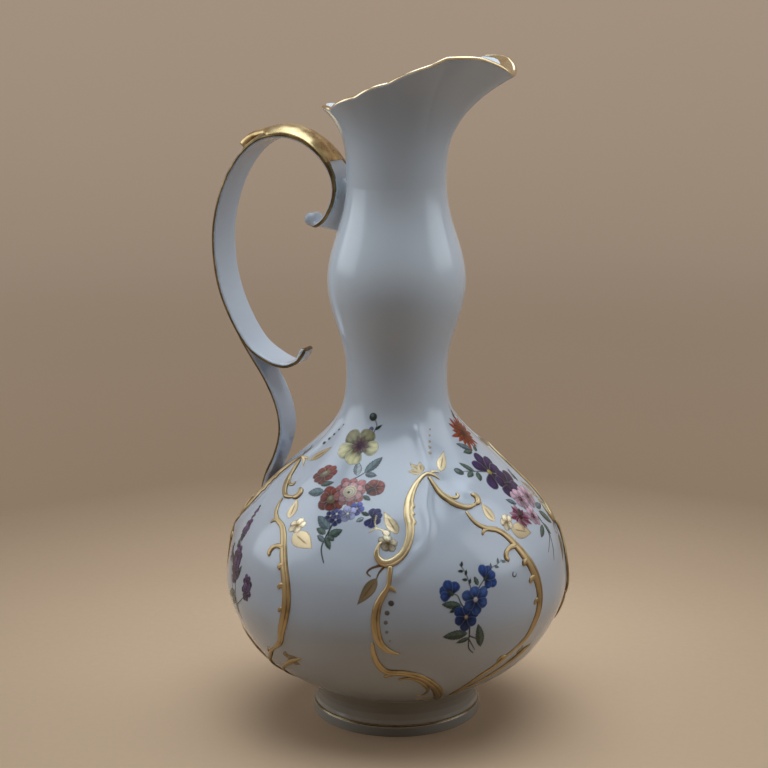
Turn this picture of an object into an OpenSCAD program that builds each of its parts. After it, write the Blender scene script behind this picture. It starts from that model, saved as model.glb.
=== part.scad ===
// Porcelain ewer with a scalloped spout, a scroll handle and four relief cartouches.
// Millimetres. +Z up, origin at the centre of the foot on the table, spout along +X.

/* [Foot] */
// Radius of the band that stands on the table
foot_r = 41; // [38:0.5:43]
// Height of the foot ring
foot_h = 17.5; // [16:0.5:19]
// Thickness of the foot ring at its band
foot_t = 8; // [6:0.5:12]
// Height of the plain band at the bottom of the foot
band_h = 4.5; // [3:0.5:6]
// Height of the narrow fillet above the band, where the gold line is
line_h = 1.5; // [1:0.1:2]
// Depth of the fillet behind the band
line_in = 0.7; // [0.4:0.1:1]
// Depth of the hollow waist of the foot behind the band
cove_in = 1.6; // [1:0.1:2.2]
// How far the belly's seat stands out past the band
seat_out = 0.5; // [0:0.1:1]
// Bevel of the foot's standing edges
foot_edge = 0.8; // [0.5:0.1:1.2]

/* [Belly] */
// Largest radius of the belly
belly_r = 82.7; // [78:0.1:88]
// Height of the widest place
belly_z = 68; // [66:0.5:71]
// Thickness of the porcelain wall
wall = 3.2; // [2.8:0.1:3.6]

/* [Neck] */
// Radius of the lower waist
waist_r = 24; // [23:0.5:26]
// Height of the lower waist
waist_z = 170; // [168:1:172]
// Radius of the bulge in the neck
bulge_r = 33; // [31:0.5:34]
// Height of the bulge above the lower waist
bulge_rise = 42; // [38:1:46]
// Radius of the upper waist, where the lip begins
collar_r = 23.4; // [22.4:0.2:24.4]
// Height of the upper waist above the bulge
collar_rise = 44; // [40:1:48]

/* [Lip] */
// Reach of the spout tip from the axis
spout_x = 56; // [52:1:60]
// Reach of the back of the lip from the axis
back_x = 34.5; // [32:0.5:37]
// Half width of the lip at its sides
side_y = 29.5; // [28:0.5:32]
// Height of the rim beside the spout, above the upper waist
peak_rise = 60; // [55:1:65]
// Height of the rim at the back, above the upper waist
back_rise = 37.5; // [34:0.5:41]
// How far the spout tip dips below the rim
tip_dip = 7.5; // [5:0.5:9]
// Number of lobes round the rim
lobes = 12; // [8:2:16]
// Height of one lobe
lobe_h = 0.8; // [0.4:0.1:1.2]
// Thickness of the rim
rim_t = 2.4; // [2:0.1:2.8]

/* [Handle] */
// How far the handle's C stands out, from its volute to its back
scroll_reach = 65; // [60:1:70]
// Height of the handle's C
scroll_tall = 113; // [108:1:117]
// How far the lower hook of the C lies below the upper waist
scroll_under = 89; // [87:0.5:92]
// Gap between the volute and the neck, which the web fills
scroll_gap = 3.2; // [2.8:0.2:4.4]
// Where the leg ends inside the belly, behind the widest radius
leg_in = 13; // [12:0.5:16]
// Where the leg ends inside the belly, above the widest place
leg_up = 34; // [32:0.5:36]
// How far the leg bows towards the neck, as a share of its height
leg_bow = 0.19; // [0.16:0.01:0.2]
// Width of the leg
leg_w = 17; // [15:0.5:20]
// Thickness of the leg at its edges
leg_t = 2.5; // [2:0.1:3]
// Width of the handle strap
strap_w = 22; // [20:0.5:24]
// Thickness of the strap at its edges
strap_t = 2.2; // [2:0.1:2.6]
// Rise of the rounded back of the strap above its edges
crown = 2.6; // [2:0.1:3.2]
// Extra thickness of the roll at the end of the volute
roll_t = 2.4; // [1.8:0.1:2.8]
// Extra thickness of the end of the lower hook
hook_t = 0.8; // [0.4:0.1:1.2]
// Rise of the rounded back at both ends of the strap
end_rise = 0.5; // [0.3:0.1:0.8]
// Thickness of the leaf on top of the handle
leaf_t = 1.4; // [1:0.1:2]
// Width of the web between the volute and the neck
web_w = 12; // [10:0.5:14]

/* [Relief] */
// Width of the applied scrolls
scroll_w = 4; // [3:0.2:5]
// Height of the applied scrolls above the belly
scroll_h = 1.3; // [1:0.1:1.8]

/* [Hidden] */
$fn = 96;
recess_r = foot_r - foot_t;
bulge_z = waist_z + bulge_rise;
collar_z = bulge_z + collar_rise;
peak_z = collar_z + peak_rise;
back_z = collar_z + back_rise;
lap_h = 3;               // height of the half lap between them
spigot_h = 1.5;          // belly's locating boss inside the foot ring
leaf_bed = 0.25;         // glaze between the strap and the gilt leaf
porcelain = "whitesmoke";
gilt = "goldenrod";

// smooth curve through points: uniform Catmull-Rom, with the end points held
function knot(p, i) = p[max(0, min(len(p) - 1, i))];
function blend(a, b, c, d, t) =
    0.5 * (2*b + (c - a)*t + (2*a - 5*b + 4*c - d)*t*t + (3*b - a - 3*c + d)*t*t*t);
function smooth_at(p, u) = let (i = min(floor(u), len(p) - 2), t = u - i)
    blend(knot(p, i - 1), knot(p, i), knot(p, i + 1), knot(p, i + 2), t);
function smooth(p, steps) = [for (k = [0 : (len(p) - 1)*steps]) smooth_at(p, k/steps)];
function wave(t) = (1 - cos(180*t))/2;
function mix(a, b, t) = a + (b - a)*t;
function unit(v) = v/norm(v);

// the body's outline as [height, radius], from the foot to the upper waist
seat_r = foot_r + seat_out;
bowl_shape = [[0, 0], [0.09, 0.22], [0.29, 0.56], [0.45, 0.73], [0.64, 0.87], [0.85, 0.97]];
shoulder_shape = [[0, 0], [0.18, 0.05], [0.29, 0.14], [0.41, 0.295], [0.53, 0.505], [0.65, 0.735],
    [0.73, 0.87], [0.8, 0.955], [0.88, 0.99], [1, 1]];
body_knots = concat(
    [for (s = bowl_shape) [mix(foot_h, belly_z, s[0]), mix(seat_r, belly_r, s[1])]],
    [for (s = shoulder_shape) [mix(belly_z, waist_z, s[0]), mix(belly_r, waist_r, s[1])]]);
neck_steps = 10;
body = concat(smooth(body_knots, 3),
    [for (k = [1 : neck_steps]) let (t = k/neck_steps)
        [mix(waist_z, bulge_z, t), mix(waist_r, bulge_r, wave(t))]],
    [for (k = [1 : neck_steps]) let (t = k/neck_steps)
        [mix(bulge_z, collar_z, t), mix(bulge_r, collar_r, wave(t))]]);

// the inside of the wall: each point moved inwards, square to the outline
function inward(c, i) = let (d = unit(knot(c, i + 1) - knot(c, i - 1))) [d[1], -d[0]];
inside = [for (i = [0 : len(body) - 1])
    i == len(body) - 1 ? body[i] - [0, wall] : body[i] + wall*inward(body, i)];

// the stretch of an outline between two heights
function stretch(c, z0, z1) = concat([[z0, lookup(z0, c)]],
    [for (p = c) if (p[0] > z0 + 0.1 && p[0] < z1 - 0.1) p], [[z1, lookup(z1, c)]]);
function turned(c) = [for (p = c) [p[1], p[0]]];
function reversed(c) = [for (i = [len(c) - 1 : -1 : 0]) c[i]];
function body_at(z) = lookup(z, body);

// belly and neck meet high on the shoulder, in a half lap midway through the wall
joint_z = mix(belly_z, waist_z, 0.8);
lap_r = (body_at(joint_z + lap_h) + lookup(joint_z, inside))/2;

// a closed skin over rings of equal length, capped at both ends
module skin(rings) {
    n = len(rings[0]);
    last = len(rings) - 1;
    points = [for (r = rings) each r];
    sides = [for (i = [0 : last - 1], j = [0 : n - 1]) let (k = (j + 1) % n)
        each [[i*n + j, i*n + k, (i + 1)*n + k], [i*n + j, (i + 1)*n + k, (i + 1)*n + j]]];
    start = [for (j = [n - 1 : -1 : 0]) j];
    end = [for (j = [0 : n - 1]) last*n + j];
    polyhedron(points, concat(sides, [start, end]), convexity = 8);
}

module foot_ring() {
    line_r = foot_r - line_in;
    line_z = band_h + line_h;
    cove_r = foot_r - cove_in;
    cove_z = mix(line_z, foot_h, 0.4);
    outer = concat([[foot_r - foot_edge, 0], [foot_r, foot_edge], [foot_r, band_h]],
        [[line_r, band_h + line_in], [line_r, line_z]],
        smooth([[mix(line_r, cove_r, 0.6), mix(line_z, cove_z, 0.15)], [cove_r, cove_z],
            [mix(cove_r, seat_r, 0.25), mix(cove_z, foot_h, 0.6)], [seat_r, foot_h]], 4));
    color(porcelain) rotate_extrude()
        polygon(concat([[recess_r, foot_h], [recess_r, foot_edge], [recess_r + foot_edge, 0]], outer));
}

module belly() {
    top = joint_z + lap_h;
    floor_z = inside[0][0];
    color(porcelain) rotate_extrude()
        polygon(concat([[0, foot_h - spigot_h], [recess_r, foot_h - spigot_h], [recess_r, foot_h]],
            turned(stretch(body, foot_h, joint_z)), [[lap_r, joint_z], [lap_r, top]],
            turned(reversed(stretch(inside, floor_z, top))), [[0, floor_z]]));
}

module neck() {
    foot = joint_z + lap_h;
    color(porcelain) rotate_extrude()
        polygon(concat(turned(stretch(body, joint_z, collar_z)),
            turned(reversed(stretch(inside, foot, collar_z))), [[lap_r, foot], [lap_r, joint_z]]));
}

// the rim by angle from the spout: reach, height and lobes
function lobe(a) = abs(cos(a*lobes/2)) - 0.6;
function rim_r(a) = side_y + (back_x - side_y)*pow(wave(a/180), 2)
    + (spout_x - side_y)*pow(max(0, cos(a)), 3);
function rim_z(a) = let (x = rim_r(a)*cos(a), rise = (x + collar_r)/(spout_x + 2))
    mix(back_z, peak_z, max(0, min(1, rise))) - tip_dip*pow(max(0, cos(a)), 45);
// how late the lip opens: more gently towards the spout than at the back
function flare(a) = 2.9 + 0.9*pow(wave(a/180), 2);
lip_steps = 12;
lip_sides = 6*lobes;
function lip_point(a, s, t) = let (z = mix(collar_z, rim_z(a) + lobe_h*lobe(a), s),
        r = mix(collar_r, rim_r(a) + lobe_h*lobe(a), pow(s, flare(a))) - t)
    [r*cos(a), r*sin(a), z];
function lip_ring(s, t) = [for (k = [0 : lip_sides - 1]) lip_point(360*k/lip_sides, s, t)];

module spout_lip() {
    n = lip_sides;
    up = [for (k = [0 : lip_steps]) lip_ring(k/lip_steps, 0)];
    down = [for (k = [lip_steps : -1 : 0]) let (s = k/lip_steps) lip_ring(s, mix(wall, rim_t, s))];
    rings = concat(up, down);
    m = len(rings);
    faces = [for (i = [0 : m - 1], j = [0 : n - 1]) let (k = (j + 1) % n, h = (i + 1) % m)
        each [[i*n + j, h*n + k, i*n + k], [i*n + j, h*n + j, h*n + k]]];
    color(porcelain) polyhedron([for (r = rings) each r], faces, convexity = 6);
}

// the handle's strap: outer edge line in the XZ plane, from the volute round to the lower hook,
// as [share of the reach away from the neck, share of the height above the lower hook]
scroll_shape = [[0.26, 0.64], [0.17, 0.62], [0.06, 0.665], [0, 0.745], [0.01, 0.835], [0.1, 0.915],
    [0.24, 0.975], [0.415, 1], [0.6, 0.98], [0.755, 0.915], [0.885, 0.805], [0.97, 0.67], [1, 0.53],
    [0.97, 0.365], [0.88, 0.22], [0.74, 0.09], [0.585, 0.025], [0.445, 0], [0.345, 0.02], [0.29, 0.065]];
volute_side = body_at(collar_z - scroll_under + 0.745*scroll_tall);
function scroll_at(s) = [-volute_side - scroll_gap - scroll_reach*s[0],
    collar_z - scroll_under + scroll_tall*s[1]];
scroll_line = [for (s = scroll_shape) scroll_at(s)];
// the leg's outer edge line, as [share of the way down from the C to the belly, share of the bow]
leg_shape = [[0, 0], [0.11, 0.18], [0.21, 0.43], [0.315, 0.71], [0.435, 0.93], [0.54, 1], [0.64, 0.92],
    [0.75, 0.67], [0.88, 0.26], [1, 0]];
leg_start = scroll_at([0.87, 0.195]);
leg_end = [leg_in - belly_r, belly_z + leg_up];
leg_line = [for (s = leg_shape) mix(leg_start, leg_end, s[0])
    + [leg_bow*(leg_start[1] - leg_end[1])*s[1], 0]];
line_steps = 4;
scroll_path = smooth(scroll_line, line_steps);
leg_path = smooth(leg_line, line_steps);

function outward(c, i) = let (d = unit(knot(c, i + 1) - knot(c, i - 1))) [d[1], -d[0]];
function across(p, n, y, out) = [p[0] + n[0]*out, y, p[1] + n[1]*out];
strap_rows = [-1, -0.75, -0.4, 0, 0.4, 0.75, 1];
// one cross section: a rounded back over a flat inner face
function strap_ring(p, n, w, rise, t) = concat(
    [for (s = strap_rows) across(p, n, s*w/2, rise*(1 - s*s))],
    [across(p, n, w/2, -t), across(p, n, -w/2, -t)]);
// how far the crown is raised at step i: flat against the web and against the leg
function ramp(a, b, x) = wave(max(0, min(1, (x - a)/(b - a))));
function scroll_rise(i) = crown*ramp(18, 26, i)*(1 - ramp(46, 54, i))
    + end_rise*(1 - ramp(0, 4, i) + ramp(71, 76, i));
function leg_rise(i) = 0.6*crown*ramp(4, 14, i);
// the strap narrows into the volute and into the lower hook, which end in a thicker roll
function scroll_width(i) = strap_w*(1 - 0.45*(1 - ramp(0, 16, i)) - 0.5*ramp(62, 76, i));
function scroll_t(i) = strap_t + roll_t*(1 - ramp(0, 4, i)) + hook_t*ramp(72, 76, i);

module handle_scroll() {
    color(porcelain) skin([for (i = [0 : len(scroll_path) - 1])
        strap_ring(scroll_path[i], outward(scroll_path, i), scroll_width(i), scroll_rise(i),
            scroll_t(i))]);
}

// the space outside the handle's C, below its middle, as a flat plate
module scroll_shadow() {
    edge = [for (i = [50 : 72]) scroll_path[i]];
    rotate([90, 0, 0]) linear_extrude(1.5*strap_w, center = true)
        polygon(concat(edge, [scroll_at([0.35, 0.3]), scroll_at([0.8, 0.34])]));
}

module belly_block() {
    rotate_extrude()
        polygon(concat([[0, foot_h]], turned(stretch(body, foot_h, joint_z)), [[0, joint_z]]));
}

module handle_leg() {
    color(porcelain) difference() {
        skin([for (i = [0 : len(leg_path) - 1])
            strap_ring(leg_path[i], outward(leg_path, i), leg_w, leg_rise(i), leg_t)]);
        scroll_shadow();
        belly_block();
    }
}

module handle_bracket() {
    edge = [for (i = [5 : 18]) scroll_path[i]];
    top_z = scroll_at([0, 0.89])[1];
    low_z = scroll_at([0, 0.54])[1];
    color(porcelain) difference() {
        rotate([90, 0, 0]) linear_extrude(web_w, center = true)
            polygon(concat(edge, [[-collar_r/2, top_z], [-collar_r/2, low_z], scroll_at([0, 0.575])]));
        rotate_extrude()
            polygon(concat([[0, joint_z]], turned(stretch(body, joint_z, collar_z)),
                [for (k = [1 : lip_steps]) let (p = lip_point(180, k/lip_steps, 0)) [-p[0], p[2]]],
                [[0, back_z]]));
    }
}

// the gilt leaf: as wide as the strap over the volute, narrowing to a tip on top of the handle
module thumb_leaf() {
    first = 20;
    last = 37;
    rows = [-1, -0.5, 0, 0.5, 1];
    color(gilt) skin([for (i = [first : last])
        let (p = scroll_path[i], n = outward(scroll_path, i), rise = scroll_rise(i),
            t = (i - first)/(last - first), half = 0.48*strap_w*(1 - 0.8*ramp(0.5, 1, t)))
        concat([for (s = rows) let (y = s*half, back = leaf_bed + rise*(1 - pow(2*y/strap_w, 2)))
                across(p, n, y, back + leaf_t*(1 - 0.8*s*s)*(0.3 + 0.7*sin(180*t)))],
            [for (s = reversed(rows)) let (y = s*half)
                across(p, n, y, leaf_bed + rise*(1 - pow(2*y/strap_w, 2)))])]);
}

// applied scrolls: centre lines as [angle from the cartouche's middle in degrees,
// percent of the way from the foot up to the lower waist]
crest_shape = [[-6, 72], [-3, 69.5], [0, 67.5], [4.5, 66], [9, 65], [13, 65], [15.5, 66], [12, 67.5]];
s_shape = [[-1, 73.5], [-7, 73.5], [-13, 71], [-17, 68], [-18.5, 64], [-18, 60.5], [-19, 57.5],
    [-21, 54.5], [-25, 52.5], [-28.5, 53], [-30, 55], [-28.5, 57.5]];
border_shape = [[8, 63], [9.5, 60.5], [12.5, 58.5], [16, 57.5], [20, 55.5], [23.5, 53], [26.5, 50],
    [29, 45.5], [29.5, 40.5], [29, 35.5], [27.5, 30], [25.5, 25.5], [22.5, 22], [17.5, 19]];
c_shape = [[-25.5, 49.5], [-26.5, 46], [-29, 41], [-29.8, 36], [-29, 31], [-26.5, 27], [-22.5, 26]];
base_left_shape = [[-31, 26], [-29.5, 22], [-25.5, 19], [-19.5, 18.5], [-13.5, 16], [-8, 12.5], [-2.5, 8]];
base_right_shape = [[15.5, 17.5], [11.5, 15], [7.5, 12.5], [4, 9.5], [0.5, 6.5]];
function on_belly(shape) = [for (s = shape) [s[0], mix(foot_h, waist_z, s[1]/100)]];
scroll_steps = 3;

function belly_point(a, z, out) = let (r = body_at(z) + out) [r*cos(a), r*sin(a), z];
// a scroll's cross section, tapered towards both ends of its line
function ridge_ring(c, i, width) = let (
        last = len(c) - 1,
        z = c[i][1],
        slope = (body_at(z + 0.5) - body_at(z - 0.5)),
        mm = [body_at(z)*PI/180, sqrt(1 + slope*slope)],
        d = knot(c, i + 1) - knot(c, i - 1),
        u = unit([d[0]*mm[0], d[1]*mm[1]]),
        side = [-u[1]/mm[0], u[0]/mm[1]],
        ease = 0.35 + 0.65*pow(sin(180*i/last), 0.5),
        half = ease*width/2,
        top = ease*scroll_h)
    [for (s = [[1, 0], [0.7, 0.7], [0, 1], [-0.7, 0.7], [-1, 0]])
        let (q = c[i] + s[0]*half*side) belly_point(q[0], q[1], s[1]*top)];

module ridge(shape, width = scroll_w) {
    c = smooth(on_belly(shape), scroll_steps);
    color(gilt) skin([for (i = [0 : len(c) - 1]) ridge_ring(c, i, width)]);
}

// the middles of the four cartouches, as angles from the spout
right_front_angle = -45;
left_front_angle = 45;
left_rear_angle = 135;
right_rear_angle = -135;

module crest(a) { rotate(a) ridge(crest_shape); }
module s_scroll(a) { rotate(a) ridge(s_shape); }
module border(a) { rotate(a) ridge(border_shape, 1.1*scroll_w); }
module c_scroll(a) { rotate(a) ridge(c_shape); }
module base(a) {
    rotate(a) {
        ridge(base_left_shape, 1.1*scroll_w);
        ridge(base_right_shape);
    }
}

foot_ring();
belly();
neck();
spout_lip();
handle_scroll();
handle_leg();
handle_bracket();
thumb_leaf();
crest(right_front_angle);  // right_front_crest
s_scroll(right_front_angle);  // right_front_s_scroll
border(right_front_angle);  // right_front_border
c_scroll(right_front_angle);  // right_front_c_scroll
base(right_front_angle);  // right_front_base
crest(left_front_angle);  // left_front_crest
s_scroll(left_front_angle);  // left_front_s_scroll
border(left_front_angle);  // left_front_border
c_scroll(left_front_angle);  // left_front_c_scroll
base(left_front_angle);  // left_front_base
crest(left_rear_angle);  // left_rear_crest
s_scroll(left_rear_angle);  // left_rear_s_scroll
border(left_rear_angle);  // left_rear_border
c_scroll(left_rear_angle);  // left_rear_c_scroll
base(left_rear_angle);  // left_rear_base
crest(right_rear_angle);  // right_rear_crest
s_scroll(right_rear_angle);  // right_rear_s_scroll
border(right_rear_angle);  // right_rear_border
c_scroll(right_rear_angle);  // right_rear_c_scroll
base(right_rear_angle);  // right_rear_base
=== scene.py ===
import bmesh
import bpy
import numpy as np
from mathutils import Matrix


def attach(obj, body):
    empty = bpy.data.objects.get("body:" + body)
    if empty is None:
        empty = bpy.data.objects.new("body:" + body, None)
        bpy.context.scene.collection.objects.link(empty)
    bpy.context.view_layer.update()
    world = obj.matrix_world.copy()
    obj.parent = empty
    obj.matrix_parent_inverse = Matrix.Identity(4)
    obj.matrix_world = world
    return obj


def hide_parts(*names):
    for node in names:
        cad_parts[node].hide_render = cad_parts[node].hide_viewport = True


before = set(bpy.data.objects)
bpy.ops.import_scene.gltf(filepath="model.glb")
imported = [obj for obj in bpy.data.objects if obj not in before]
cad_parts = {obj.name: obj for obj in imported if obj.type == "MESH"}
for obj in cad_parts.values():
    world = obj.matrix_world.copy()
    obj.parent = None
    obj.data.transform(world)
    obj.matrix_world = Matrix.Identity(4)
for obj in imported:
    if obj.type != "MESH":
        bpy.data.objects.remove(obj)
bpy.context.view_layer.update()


# Foot ring: a turned ring of porcelain with a plain band, a narrow fillet and a hollow waist.
# It is luted under the belly before firing and glazed with it. A gold line fills the fillet.
mm = 0.001
foot_r = 41.0
foot_h = 17.5
seat_r = 41.5
recess_r = 33.0
corner_r = 0.35


def cast(name, points, facing=None, around=True, along=False, poles=(), **layers):
    """A mesh over a grid of points in millimetres: each cell is one face, and the last column or row
    meets the first where the grid closes. Rows named in poles shrink to one point. Facing gives the
    normals, and each layer keeps one number or colour for every point."""
    rows, columns = points.shape[:2]
    row = np.arange(rows if along else rows - 1)[:, None]
    column = np.arange(columns if around else columns - 1)[None, :]
    above = (row + 1) % rows
    beside = (column + 1) % columns
    corners = [row * columns + column, row * columns + beside,
               above * columns + beside, above * columns + column]
    faces = np.stack(corners, axis=-1).reshape(-1, 4)
    mesh = bpy.data.meshes.new(name)
    mesh.from_pydata((points.reshape(-1, 3) * mm).tolist(), [], faces.tolist())
    if facing is not None:
        layers["facing"] = facing
    for key, values in layers.items():
        if values.ndim == 2:
            mesh.attributes.new(key, "FLOAT", "POINT").data.foreach_set("value", values.ravel())
        elif key == "facing":
            mesh.attributes.new(key, "FLOAT_VECTOR", "POINT").data.foreach_set("vector", values.ravel())
        else:
            opaque = np.concatenate([values, np.ones(values.shape[:2] + (1,))], axis=-1)
            mesh.attributes.new(key, "FLOAT_COLOR", "POINT").data.foreach_set("color", opaque.ravel())
    if poles:
        solid = bmesh.new()
        solid.from_mesh(mesh)
        solid.verts.ensure_lookup_table()
        ends = [[solid.verts[p % rows * columns + c] for c in range(columns)] for p in poles]
        for ring in ends:
            bmesh.ops.remove_doubles(solid, verts=ring, dist=1e-7)
        solid.to_mesh(mesh)
        solid.free()
    mesh.shade_smooth()
    if facing is not None:
        flat = np.empty(len(mesh.vertices) * 3)
        mesh.attributes["facing"].data.foreach_get("vector", flat)
        mesh.normals_split_custom_set_from_vertices(flat.reshape(-1, 3).tolist())
        mesh.attributes.remove(mesh.attributes["facing"])
    piece = bpy.data.objects.new(name, mesh)
    bpy.context.collection.objects.link(piece)
    return piece


def turned(profile, steps=360):
    """A profile of radius and height carried round the upright axis: each point becomes a circle."""
    turn = np.radians(np.arange(steps) * 360 / steps)
    radius, height = profile[:, :1], profile[:, 1:]
    return np.stack([radius * np.cos(turn), radius * np.sin(turn), height + 0 * turn], axis=-1)


def softened(corners, radius, steps=6):
    """A closed outline with its corners rounded: each corner is a quadratic curve between two points
    that lie radius away from it on its two sides."""
    corners = np.asarray(corners, float)
    back = np.roll(corners, 1, axis=0) - corners
    on = np.roll(corners, -1, axis=0) - corners
    start = corners + radius * back / np.linalg.norm(back, axis=1, keepdims=True)
    end = corners + radius * on / np.linalg.norm(on, axis=1, keepdims=True)
    t = np.linspace(0, 1, steps)[None, :, None]
    curve = start[:, None] * (1 - t) ** 2 + 2 * corners[:, None] * t * (1 - t) + end[:, None] * t**2
    return curve.reshape(-1, 2)


class Tone:
    """A value in a material's node tree. Sums, differences and products of tones add Math nodes."""

    def __init__(self, tree, socket):
        self.tree = tree
        self.socket = socket

    def node(self, kind, settings=None, sockets=None, output=0):
        """Adds a node: its settings first, then the number, colour or link of each socket."""
        made = self.tree.nodes.new(kind)
        for key, value in (settings or {}).items():
            setattr(made, key, value)
        for key, value in (sockets or {}).items():
            if isinstance(value, Tone):
                self.tree.links.new(value.socket, made.inputs[key])
            else:
                made.inputs[key].default_value = value
        return Tone(self.tree, made.outputs[output])

    def math(self, operation, first, second=0.0):
        return self.node("ShaderNodeMath", {"operation": operation}, {0: first, 1: second})

    def __add__(self, other):
        return self.math("ADD", self, other)

    __radd__ = __add__

    def __mul__(self, other):
        return self.math("MULTIPLY", self, other)

    __rmul__ = __mul__

    def __sub__(self, other):
        return self.math("SUBTRACT", self, other)

    def __rsub__(self, other):
        return self.math("SUBTRACT", other, self)

    def most(self, other):
        return self.math("MAXIMUM", self, other)

    def step(self, low, high):
        """0 below low, 1 above high, and an even ramp between."""
        return self.node("ShaderNodeMapRange", None, {0: self, 1: low, 2: high, 3: 0.0, 4: 1.0})

    def mixed(self, dark, light):
        """A colour between dark and light, by this value from 0 to 1."""
        return self.node("ShaderNodeMix", {"data_type": "RGBA"}, {0: self, 6: dark, 7: light}, 2)

    def noise(self, scale, detail=3.0):
        """Cloudy noise from 0 to 1 over this position."""
        return self.node("ShaderNodeTexNoise", None, {"Vector": self, "Scale": scale, "Detail": detail})

    def layer(self, name, output=2):
        """A layer of the mesh: output 2 is a number and output 0 a colour."""
        return self.node("ShaderNodeAttribute", {"attribute_name": name}, None, output)

    def axis(self, number):
        """One coordinate of this position: 0 for x, 1 for y or 2 for z."""
        return self.node("ShaderNodeSeparateXYZ", None, {0: self}, number)

    def feed(self, shader, socket):
        self.tree.links.new(self.socket, shader.inputs[socket])

    def emboss(self, shader, strength, distance):
        """Feeds this height to the shader's normal through a bump."""
        bump = {"Height": self, "Strength": strength, "Distance": distance}
        self.node("ShaderNodeBump", None, bump).feed(shader, "Normal")


def begin(name):
    """A new material, its main shader, and the position on the object as a tone."""
    material = bpy.data.materials.new(name)
    material.use_nodes = True
    tree = material.node_tree
    place = Tone(tree, tree.nodes.new("ShaderNodeTexCoord").outputs["Object"])
    return material, tree.nodes["Principled BSDF"], place


def rgb(red, green, blue):
    """A colour written as the eye sees it, from 0 to 255, made linear for the shader."""
    return (*((np.array([red, green, blue]) / 255) ** 2.2).tolist(), 1.0)


gold_light = rgb(204, 184, 144)
gold_dark = rgb(106, 86, 54)
# The glaze runs from a greyer tone on the belly to a whiter one on the neck: painted shade low down and
# painted light high up.
glaze_shaded_low = rgb(205, 211, 220)
glaze_lit_high = rgb(238, 245, 252)
low_until = 0.13
high_from = 0.21


def glazed_porcelain(name, gilding=None, film_tones=(gold_light, gold_dark),
                     glaze=(glaze_shaded_low, glaze_lit_high)):
    """White glaze with faint clouds and a slow ripple, greyer low down than high up between its two tones,
    painted shade and painted light. Where gilding is 1 a burnished gold film lies on it, patchy between its
    own two tones."""
    material, shader, place = begin(name)
    cloud = place.noise(11.0)
    grain = place.noise(420.0, 2.0)
    white = (place.axis(2).step(low_until, high_from) + (cloud - 0.5) * 0.8).mixed(*glaze)
    rough = 0.07 + cloud * 0.05
    ripple = place.noise(38.0, 1.0) + grain * 0.03
    if gilding:
        film = gilding(place, grain)
        worn = place.noise(130.0).step(0.35, 0.75)
        white = film.mixed(white, worn.mixed(*film_tones))
        rough = rough + film * (0.08 + worn * 0.07)
        film.feed(shader, "Metallic")
    white.feed(shader, "Base Color")
    rough.feed(shader, "Roughness")
    ripple.emboss(shader, 0.1, 0.002)
    shader.inputs["IOR"].default_value = 1.52
    shader.inputs["Coat Weight"].default_value = 0.3
    shader.inputs["Coat Roughness"].default_value = 0.07
    return material


def placed(piece, material, node=None):
    """Gives a piece its material. It rides on the one body and may stand for a CAD node."""
    piece.data.materials.append(material)
    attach(piece, "root")
    if node:
        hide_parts(node)


def foot_line(place, grain):
    """Gold between two heights in metres on the fillet, with a slightly unsteady edge."""
    height = place.axis(2) + (grain - 0.5) * 0.0003
    return height.step(0.0046, 0.0048) * (1 - height.step(0.0055, 0.0057))


foot_corners = [[recess_r, foot_h], [recess_r, 0.0], [foot_r, 0.0], [foot_r, 4.5], [40.3, 5.2], [40.3, 6.0],
                [39.7, 7.4], [39.4, 10.6], [39.8, 13.5], [seat_r, foot_h]]
foot_ring = cast("foot_ring_turned", turned(softened(foot_corners, corner_r)), along=True)
# The foot's glaze and its gold line are painted darker: painted shade under the overhanging belly.
foot_gold_painted_shade = (rgb(104, 90, 60), rgb(66, 55, 34))
foot_glaze_painted_shade = (rgb(174, 167, 154), rgb(194, 187, 174))
foot_finish = glazed_porcelain("glazed_foot", foot_line, foot_gold_painted_shade, foot_glaze_painted_shade)
placed(foot_ring, foot_finish, "foot_ring")


# Belly: the low round body of the ewer, thrown in porcelain with a wall of about 3 mm and glazed
# inside and out. The wall swells softly under the applied scrolls, and beside each S scroll it has
# a soft rib. It sits on the foot ring.
belly_r = 82.7
belly_z = 68.0
waist_r = 24.0
waist_z = 170.0
bulge_r = 33.0
bulge_z = 212.0
collar_r = 23.4
collar_z = 256.0
wall = 3.2
recess_z = 16.0
swell_high, swell_wide = 0.55, 5.0
rib_high, rib_wide = 0.9, 2.8
joint_z = belly_z + 0.8 * (waist_z - belly_z)
bowl_shape = [[0, 0], [0.09, 0.22], [0.29, 0.56], [0.45, 0.73], [0.64, 0.87], [0.85, 0.97]]
shoulder_shape = [[0, 0], [0.18, 0.05], [0.29, 0.14], [0.41, 0.295], [0.53, 0.505], [0.65, 0.735],
                  [0.73, 0.87], [0.8, 0.955], [0.88, 0.99], [1, 1]]


def spline(knots, steps=12):
    """A smooth curve through the knots: a uniform Catmull-Rom curve with its end knots held."""
    knots = np.asarray(knots, float)
    held = np.concatenate([knots[:1], knots, knots[-1:]])
    u = np.linspace(0, len(knots) - 1, (len(knots) - 1) * steps + 1)
    i = np.minimum(u.astype(int), len(knots) - 2)
    t = (u - i)[:, None]
    a, b, c, d = held[i], held[i + 1], held[i + 2], held[i + 3]
    cubic = (3 * b - a - 3 * c + d) * t**3
    return 0.5 * (2 * b + (c - a) * t + (2 * a - 5 * b + 4 * c - d) * t**2 + cubic)


def travelled(curve):
    """The distance from a curve's start to each of its points: the running sum of its steps."""
    return np.concatenate([[0], np.cumsum(np.linalg.norm(np.diff(curve, axis=0), axis=1))])


def evened(curve, gap):
    """The same curve with its points at even distances, about gap apart."""
    length = travelled(curve)
    even = np.linspace(0, length[-1], max(3, int(round(length[-1] / gap))) + 1)
    return np.stack([np.interp(even, length, column) for column in curve.T], axis=1)


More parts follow.
